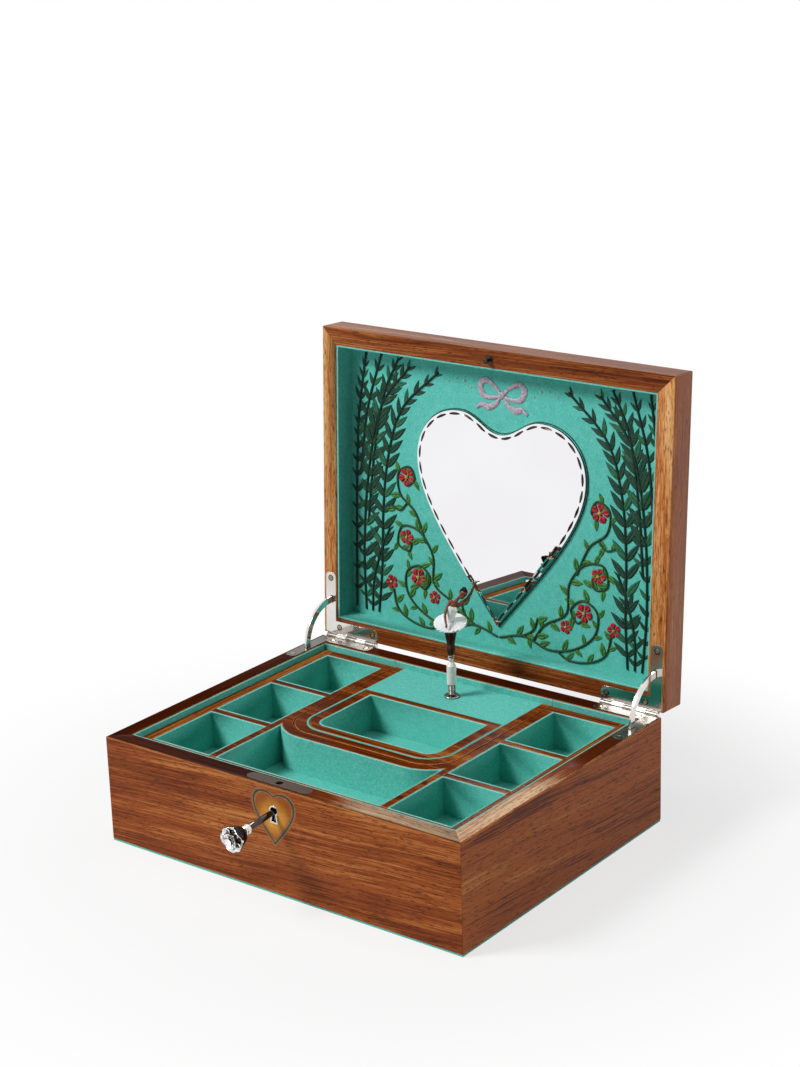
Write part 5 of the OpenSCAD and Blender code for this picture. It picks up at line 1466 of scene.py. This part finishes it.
def dancer_legs():
    """The legs in their tights, the slippers and the slippers' ribbons."""
    legs, shoes, bands = [], [], []
    turns = [2 * math.pi * i / 20 for i in range(21)]
    for s in (-1, 1):
        legs.append(limb([
            ((0.75 * s, 0.35 * s, 2.4), 0.8), ((0.88 * s, 0.4 * s, 4.6), 0.9),
            ((1.45 * s, 0.4 * s, 9.6), 1.66), ((1.42 * s, 0.1 * s, 13.2), 1.36),
            ((1.55 * s, -0.1, 15.2), 1.46), ((2.0 * s, 0, 20.5), 2.0), ((2.3 * s, 0, 26.5), 2.5)]))
        shoes.append(limb([
            ((0.45 * s, 0.15 * s, -0.1), 0.55), ((0.6 * s, -0.1, 0.8), 0.85),
            ((0.72 * s, 0.2 * s, 1.6), 1.02), ((0.78 * s, 0.5 * s, 2.1), 0.95)]))
        # two ribbons round each ankle that lean opposite ways
        for z, lean, r in ((3.5, 0.25, 1.14), (4.6, -0.2, 1.16)):
            bands.append([(on_figure(0.88 * s + r * math.cos(a), 0.4 * s + r * math.sin(a),
                                     z + lean * math.sin(a)), 1) for a in turns])
    white = material("white_plastic")
    return [moulded("dancer_tights", legs, material("tights"), voxel=0.18, smooth=4),
            moulded("dancer_slippers", shoes, white, voxel=0.16, smooth=4),
            swept("dancer_ribbons", bands, 0.26 * MM, white, sides=6)]


def dancer_bodice():
    """The bodice over the waist, ribs and bust."""
    return moulded("dancer_bodice", [
        limb([((-0.2, 0, 26.8), 4.0), ((-0.1, 0, 30.5), 3.3), ((0.4, 0, 33.6), 3.25),
              ((1.1, -0.2, 37.2), 3.75), ((1.5, -0.3, 39.6), 3.8)], squash=0.82),
        egg((-0.3, -1.5, 40.9), (2.05, 1.75, 2.2)), egg((3.3, -1.5, 39.7), (2.05, 1.75, 2.2)),
    ], material("bodice"), voxel=0.18, smooth=4)


def dancer_skin():
    """The chest, shoulders, neck, arms, hands and face."""
    return moulded("dancer_skin", [
        limb([((1.4, 0.1, 37.4), 3.1), ((2.1, 0.1, 41.2), 3.25), ((3.0, 0.2, 43.6), 2.8),
              ((3.8, 0.2, 45.0), 1.8)], squash=0.72),
        limb([((0.2, -0.1, 45.2), 1.45), ((3.0, 0.2, 44.6), 1.8), ((6.0, 0.3, 42.0), 1.5)], squash=0.85),
        limb([((3.6, 0.1, 44.6), 1.6), ((5.2, 0.0, 46.6), 1.12), ((7.0, -0.1, 48.8), 1.2)]),
        # the lowered arm, its hand over the skirt
        limb([((0.2, -0.4, 44.9), 1.4), ((-2.0, -1.8, 41.2), 1.2), ((-3.5, -3.9, 37.6), 0.98),
              ((-3.6, -6.2, 34.4), 0.92), ((-3.1, -8.2, 31.9), 0.68), ((-2.9, -9.0, 30.9), 0.74)], sides=16),
        limb([((-2.9, -9.0, 31.0), 0.68), ((-2.7, -9.9, 29.9), 0.48), ((-2.6, -10.5, 29.2), 0.28)],
             sides=12),
        limb([((-3.2, -8.8, 31.1), 0.52), ((-3.6, -9.5, 30.0), 0.3), ((-3.6, -9.9, 29.5), 0.22)], sides=10),
        # the raised arm
        limb([((5.6, 0.2, 42.4), 1.5), ((8.6, 0.3, 44.0), 1.38), ((12.0, 0.4, 46.6), 1.12),
              ((14.6, 0.5, 50.2), 1.02), ((16.4, 0.6, 54.6), 0.9), ((17.9, 0.7, 57.8), 0.66),
              ((18.8, 0.8, 58.8), 0.72)], sides=16),
        limb([((18.7, 0.8, 58.8), 0.66), ((20.2, 0.9, 59.5), 0.44), ((21.4, 1.0, 59.2), 0.26)], sides=12),
        limb([((18.7, 0.6, 58.9), 0.5), ((20.1, 0.2, 59.9), 0.3), ((21.0, 0.1, 60.1), 0.2)], sides=10),
        limb([((18.3, 0.9, 58.5), 0.45), ((18.6, 1.6, 59.6), 0.26), ((18.9, 1.8, 60.2), 0.18)], sides=10),
        # skull, jaw, nose, brow and ears
        of_head((0, 0, 0.3), (2.35, 2.75, 2.9)),
        of_head((0, -0.75, -1.7), (1.55, 1.75, 1.75)),
        of_head((0, -2.75, -0.45), (0.36, 0.55, 0.72), (-12, HEAD_TILT, 0), 12),
        of_head((0, -2.45, 0.75), (1.5, 0.5, 0.35), sides=14),
        of_head((-2.3, 0.2, -0.2), (0.25, 0.5, 0.7), sides=12),
        of_head((2.3, 0.2, -0.2), (0.25, 0.5, 0.7), sides=12),
    ], material("skin"), voxel=0.17, smooth=5)


def dancer_hair():
    """The hair, its bun and its front roll."""
    return moulded("dancer_hair", [
        of_head((0, 0.75, 0.85), (2.62, 2.7, 2.85)),
        of_head((0, 3.0, 2.2), (1.55, 1.35, 1.5)),
        of_head((0, -0.9, 2.55), (1.7, 1.3, 0.75), sides=14),
    ], material("hair"), voxel=0.17, smooth=4)


def dancer_features():
    """The lowered lashes, the brows and the lips."""
    parts = []
    for s in (-1, 1):
        lash, brow = (0, HEAD_TILT + 6 * s, 0), (0, HEAD_TILT + 10 * s, 0)
        parts.append(("dancer_lash_%d" % (s + 1), (0.95 * s, -2.52, 0.12), (0.5, 0.22, 0.13), lash, "hair"))
        parts.append(("dancer_brow_%d" % (s + 1), (0.98 * s, -2.62, 0.98), (0.55, 0.2, 0.09), brow, "hair"))
    parts.append(("dancer_lips", (0, -2.42, -1.55), (0.62, 0.28, 0.2), UPRIGHT, "lips"))
    made = []
    for name, place, radii, turn, key in parts:
        verts, faces = of_head(place, radii, turn, 12)
        made.append(new_mesh(name, [on_figure(*v) for v in verts], faces, material(key)))
    return made


class JEWELLERY_OT_dancer(JewelleryOperator, bpy.types.Operator):
    """Models the dancer in tights, slippers and bodice"""
    bl_idname = "jewellery.dancer"
    bl_label = "Dancer"

    def execute(self, context):
        """Melts each part of the figure from tapered limbs, then joins them."""
        figure = joined("dancer_modelled", [*dancer_legs(), dancer_bodice(), dancer_skin(), dancer_hair(),
                                            *dancer_features()])
        mount(figure, "dancer", ["dancer_figure"])
        return {"FINISHED"}


class JEWELLERY_OT_tutu(JewelleryOperator, bpy.types.Operator):
    """Gathers the layers of the tutu"""
    bl_idname = "jewellery.tutu"
    bl_label = "Tutu"

    WAIST, REACH = 3.0, 8.7  # the net's inner radius and its width from there, in millimetres
    HEIGHT = 31.4  # the waist above the toes

    def execute(self, context):
        """Lays tilted scalloped rings of net, each a little narrower and lower than the one over it."""
        frills, count = self.sizes.frills, self.sizes.tutu_layers
        rings, steps = 12, frills * 8
        for layer in range(count):
            verts, faces = [], []
            for i in range(rings + 1):
                t = i / rings
                for k in range(steps):
                    a = 2 * math.pi * k / steps
                    # each layer's frills lie a little round from the others', on a slower swell
                    wave = math.cos(frills * a + 2.1 * layer) + 0.4 * math.cos(5 * a + 1.3 * layer)
                    lobe = abs(math.sin(frills * a / 2 + layer)) ** 0.6
                    r = self.WAIST + (self.REACH - 0.25 * layer) * t * (1 + 0.055 * t ** 6 * (lobe - 0.5))
                    x, y = r * math.cos(a), r * math.sin(a)
                    z = self.HEIGHT - 0.42 * layer - 1.5 * t + 0.25 * y + 0.05 * x + 0.26 * wave * t ** 1.5
                    verts.append(on_figure(x, y, z))
            for i in range(rings):
                for k in range(steps):
                    n = (k + 1) % steps
                    faces.append((i * steps + k, (i + 1) * steps + k, (i + 1) * steps + n, i * steps + n))
            net = new_mesh("tutu_net_%d" % (layer + 1), verts, faces, material("net"))
            thick = net.modifiers.new("Net thickness", "SOLIDIFY")
            thick.thickness = 0.14 * MM
            thick.offset = 0
            settle(net)
            mount(net, "dancer", ["dancer_tutu"] if layer == 0 else ())
        return {"FINISHED"}


# ---------- stage ----------

def seen_share(tree):
    """One for rays that see a thing straight, mirrored or through glass, none for those that light it."""
    rays = add(tree, "ShaderNodeLightPath").outputs
    seen = rays["Is Camera Ray"]
    for kind in ("Is Glossy Ray", "Is Transmission Ray"):
        seen = add(tree, "ShaderNodeMath", {0: seen, 1: rays[kind]}, operation="MAXIMUM").outputs[0]
    return seen


class JEWELLERY_OT_stage(JewelleryOperator, bpy.types.Operator):
    """Sets the camera, the soft lights, the white surroundings and the pale floor"""
    bl_idname = "jewellery.stage"
    bl_label = "Camera, lights and floor"

    VIEW = (37.83, 18.01, -1.80)  # degrees round from the front, up, and of roll
    TARGET, AWAY = (0.0194, 0, 0.2209), 1.501
    SENSOR = 36  # millimetres, the height of the camera's sensor
    FOCUS, TALL = 2270, 1067  # focal length and the frame's height, in the same pixels
    # name, place, target, size in metres and power in watts
    LAMPS = (("Key light", (-1.35, -1.75, 2.15), (0, 0, 0.10), 1.0, 83.0),
             ("Top light", (0.15, 0.25, 2.1), (0, 0, 0.05), 1.1, 6.5),
             ("Fill light", (1.9, 0.42, 0.24), (0, 0, 0.08), 0.6, 11.0))
    GROUND = -0.2 * MM  # the floor lies this little under the box

    def execute(self, context):
        """Places the camera, lights, world and floor."""
        self.camera()
        self.floor()
        self.world()
        for lamp in self.LAMPS:
            self.lamp(*lamp)
        return {"FINISHED"}

    def camera(self):
        """Looks down on the open box from its front right."""
        azimuth, elevation, roll = (math.radians(a) for a in self.VIEW)
        forward = Vector((-math.sin(azimuth) * math.cos(elevation), math.cos(azimuth) * math.cos(elevation),
                          -math.sin(elevation)))
        right = forward.cross(Vector(UP)).normalized()
        up = right.cross(forward)
        across = right * math.cos(roll) + up * math.sin(roll)
        upward = up * math.cos(roll) - right * math.sin(roll)
        data = bpy.data.cameras.new("Camera")
        data.sensor_fit = "VERTICAL"
        data.sensor_height = self.SENSOR
        data.lens = self.FOCUS * self.SENSOR / self.TALL
        data.clip_end = 100
        camera = in_scene("Camera", data)
        turn = Matrix((across, upward, -forward)).transposed().to_4x4()
        camera.matrix_world = Matrix.Translation(Vector(self.TARGET) - forward * self.AWAY) @ turn
        bpy.context.scene.camera = camera

    def lamp(self, name, place, target, size, power):
        """One soft square light."""
        data = bpy.data.lights.new(name, "AREA")
        data.size = size
        data.energy = power
        lamp = in_scene(name, data)
        lamp.location = place
        lamp.rotation_euler = (Vector(target) - Vector(place)).to_track_quat("-Z", "Y").to_euler()

    def floor(self):
        """A pale floor that fades to white away from the box and keeps its shadow."""
        made, tree, shader, place = blank("Pale studio floor")
        shader.inputs["Base Color"].default_value = srgb("#f4f4f4")
        shader.inputs["Roughness"].default_value = 0.9
        shader.inputs["Specular IOR Level"].default_value = 0.0
        far = add(tree, "ShaderNodeVectorMath", {0: place}, operation="LENGTH")
        fade = add(tree, "ShaderNodeMapRange", {
            "Value": far.outputs["Value"], "From Min": 0.2, "From Max": 0.42, "To Min": 0.72},
            interpolation_type="SMOOTHSTEP")
        share = add(tree, "ShaderNodeMath", {0: seen_share(tree), 1: fade.outputs[0]}, operation="MULTIPLY")
        white = add(tree, "ShaderNodeEmission", {"Color": (1, 1, 1, 1), "Strength": 1.0})
        mixed = add(tree, "ShaderNodeMixShader", {
            0: share.outputs[0], 1: shader.outputs[0], 2: white.outputs[0]})
        tree.links.new(mixed.outputs[0], tree.nodes["Material Output"].inputs["Surface"])
        half = 20  # metres
        corners = [(x * half, y * half, self.GROUND) for x, y in ((-1, -1), (1, -1), (1, 1), (-1, 1))]
        floor = new_mesh("floor", corners, [(0, 1, 2, 3)], made, smooth=False)

    def world(self):
        """White to the camera and in reflections, softer as light."""
        world = bpy.data.worlds.new("Studio")
        world.use_nodes = True
        tree = world.node_tree
        level = add(tree, "ShaderNodeMapRange", {"Value": seen_share(tree), "To Min": 0.035, "To Max": 1.0})
        tree.nodes["Background"].inputs["Color"].default_value = (1, 1, 1, 1)
        tree.links.new(level.outputs[0], tree.nodes["Background"].inputs["Strength"])
        bpy.context.scene.world = world
        bpy.context.scene.view_settings.view_transform = "Standard"


# ---------- add-on ----------

PIECES = (JEWELLERY_OT_case, JEWELLERY_OT_trays, JEWELLERY_OT_linings, JEWELLERY_OT_metalwork,
          JEWELLERY_OT_key, JEWELLERY_OT_mirror, JEWELLERY_OT_stringing, JEWELLERY_OT_ferns,
          JEWELLERY_OT_garland, JEWELLERY_OT_bow, JEWELLERY_OT_spring, JEWELLERY_OT_dancer,
          JEWELLERY_OT_tutu, JEWELLERY_OT_stage)


class JEWELLERY_PT_panel(bpy.types.Panel):
    """Lists the box's settings and pieces"""
    bl_idname = "JEWELLERY_PT_panel"
    bl_label = "Jewellery box"
    bl_space_type = "VIEW_3D"
    bl_region_type = "UI"
    bl_category = "Jewellery box"

    def draw(self, context):
        """Draws the settings and a button for each piece."""
        for settings in (context.scene.jewellery_sizes, context.scene.jewellery_colours):
            box = self.layout.box()
            for key in settings.__annotations__:
                box.prop(settings, key)
        for piece in PIECES:
            self.layout.operator(piece.bl_idname)


CLASSES = (JewelleryColours, JewellerySizes, *PIECES, JEWELLERY_PT_panel)


def register():
    """Registers the classes and the settings."""
    for each in CLASSES:
        bpy.utils.register_class(each)
    bpy.types.Scene.jewellery_colours = PointerProperty(type=JewelleryColours)
    bpy.types.Scene.jewellery_sizes = PointerProperty(type=JewellerySizes)


def unregister():
    """Removes the settings and the classes."""
    del bpy.types.Scene.jewellery_sizes
    del bpy.types.Scene.jewellery_colours
    for each in reversed(CLASSES):
        bpy.utils.unregister_class(each)


def main():
    """Builds the dressed box."""
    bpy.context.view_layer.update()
    register()
    for piece in PIECES:
        group, name = piece.bl_idname.split(".")
        getattr(getattr(bpy.ops, group), name)()


if __name__ == "__main__":
    main()
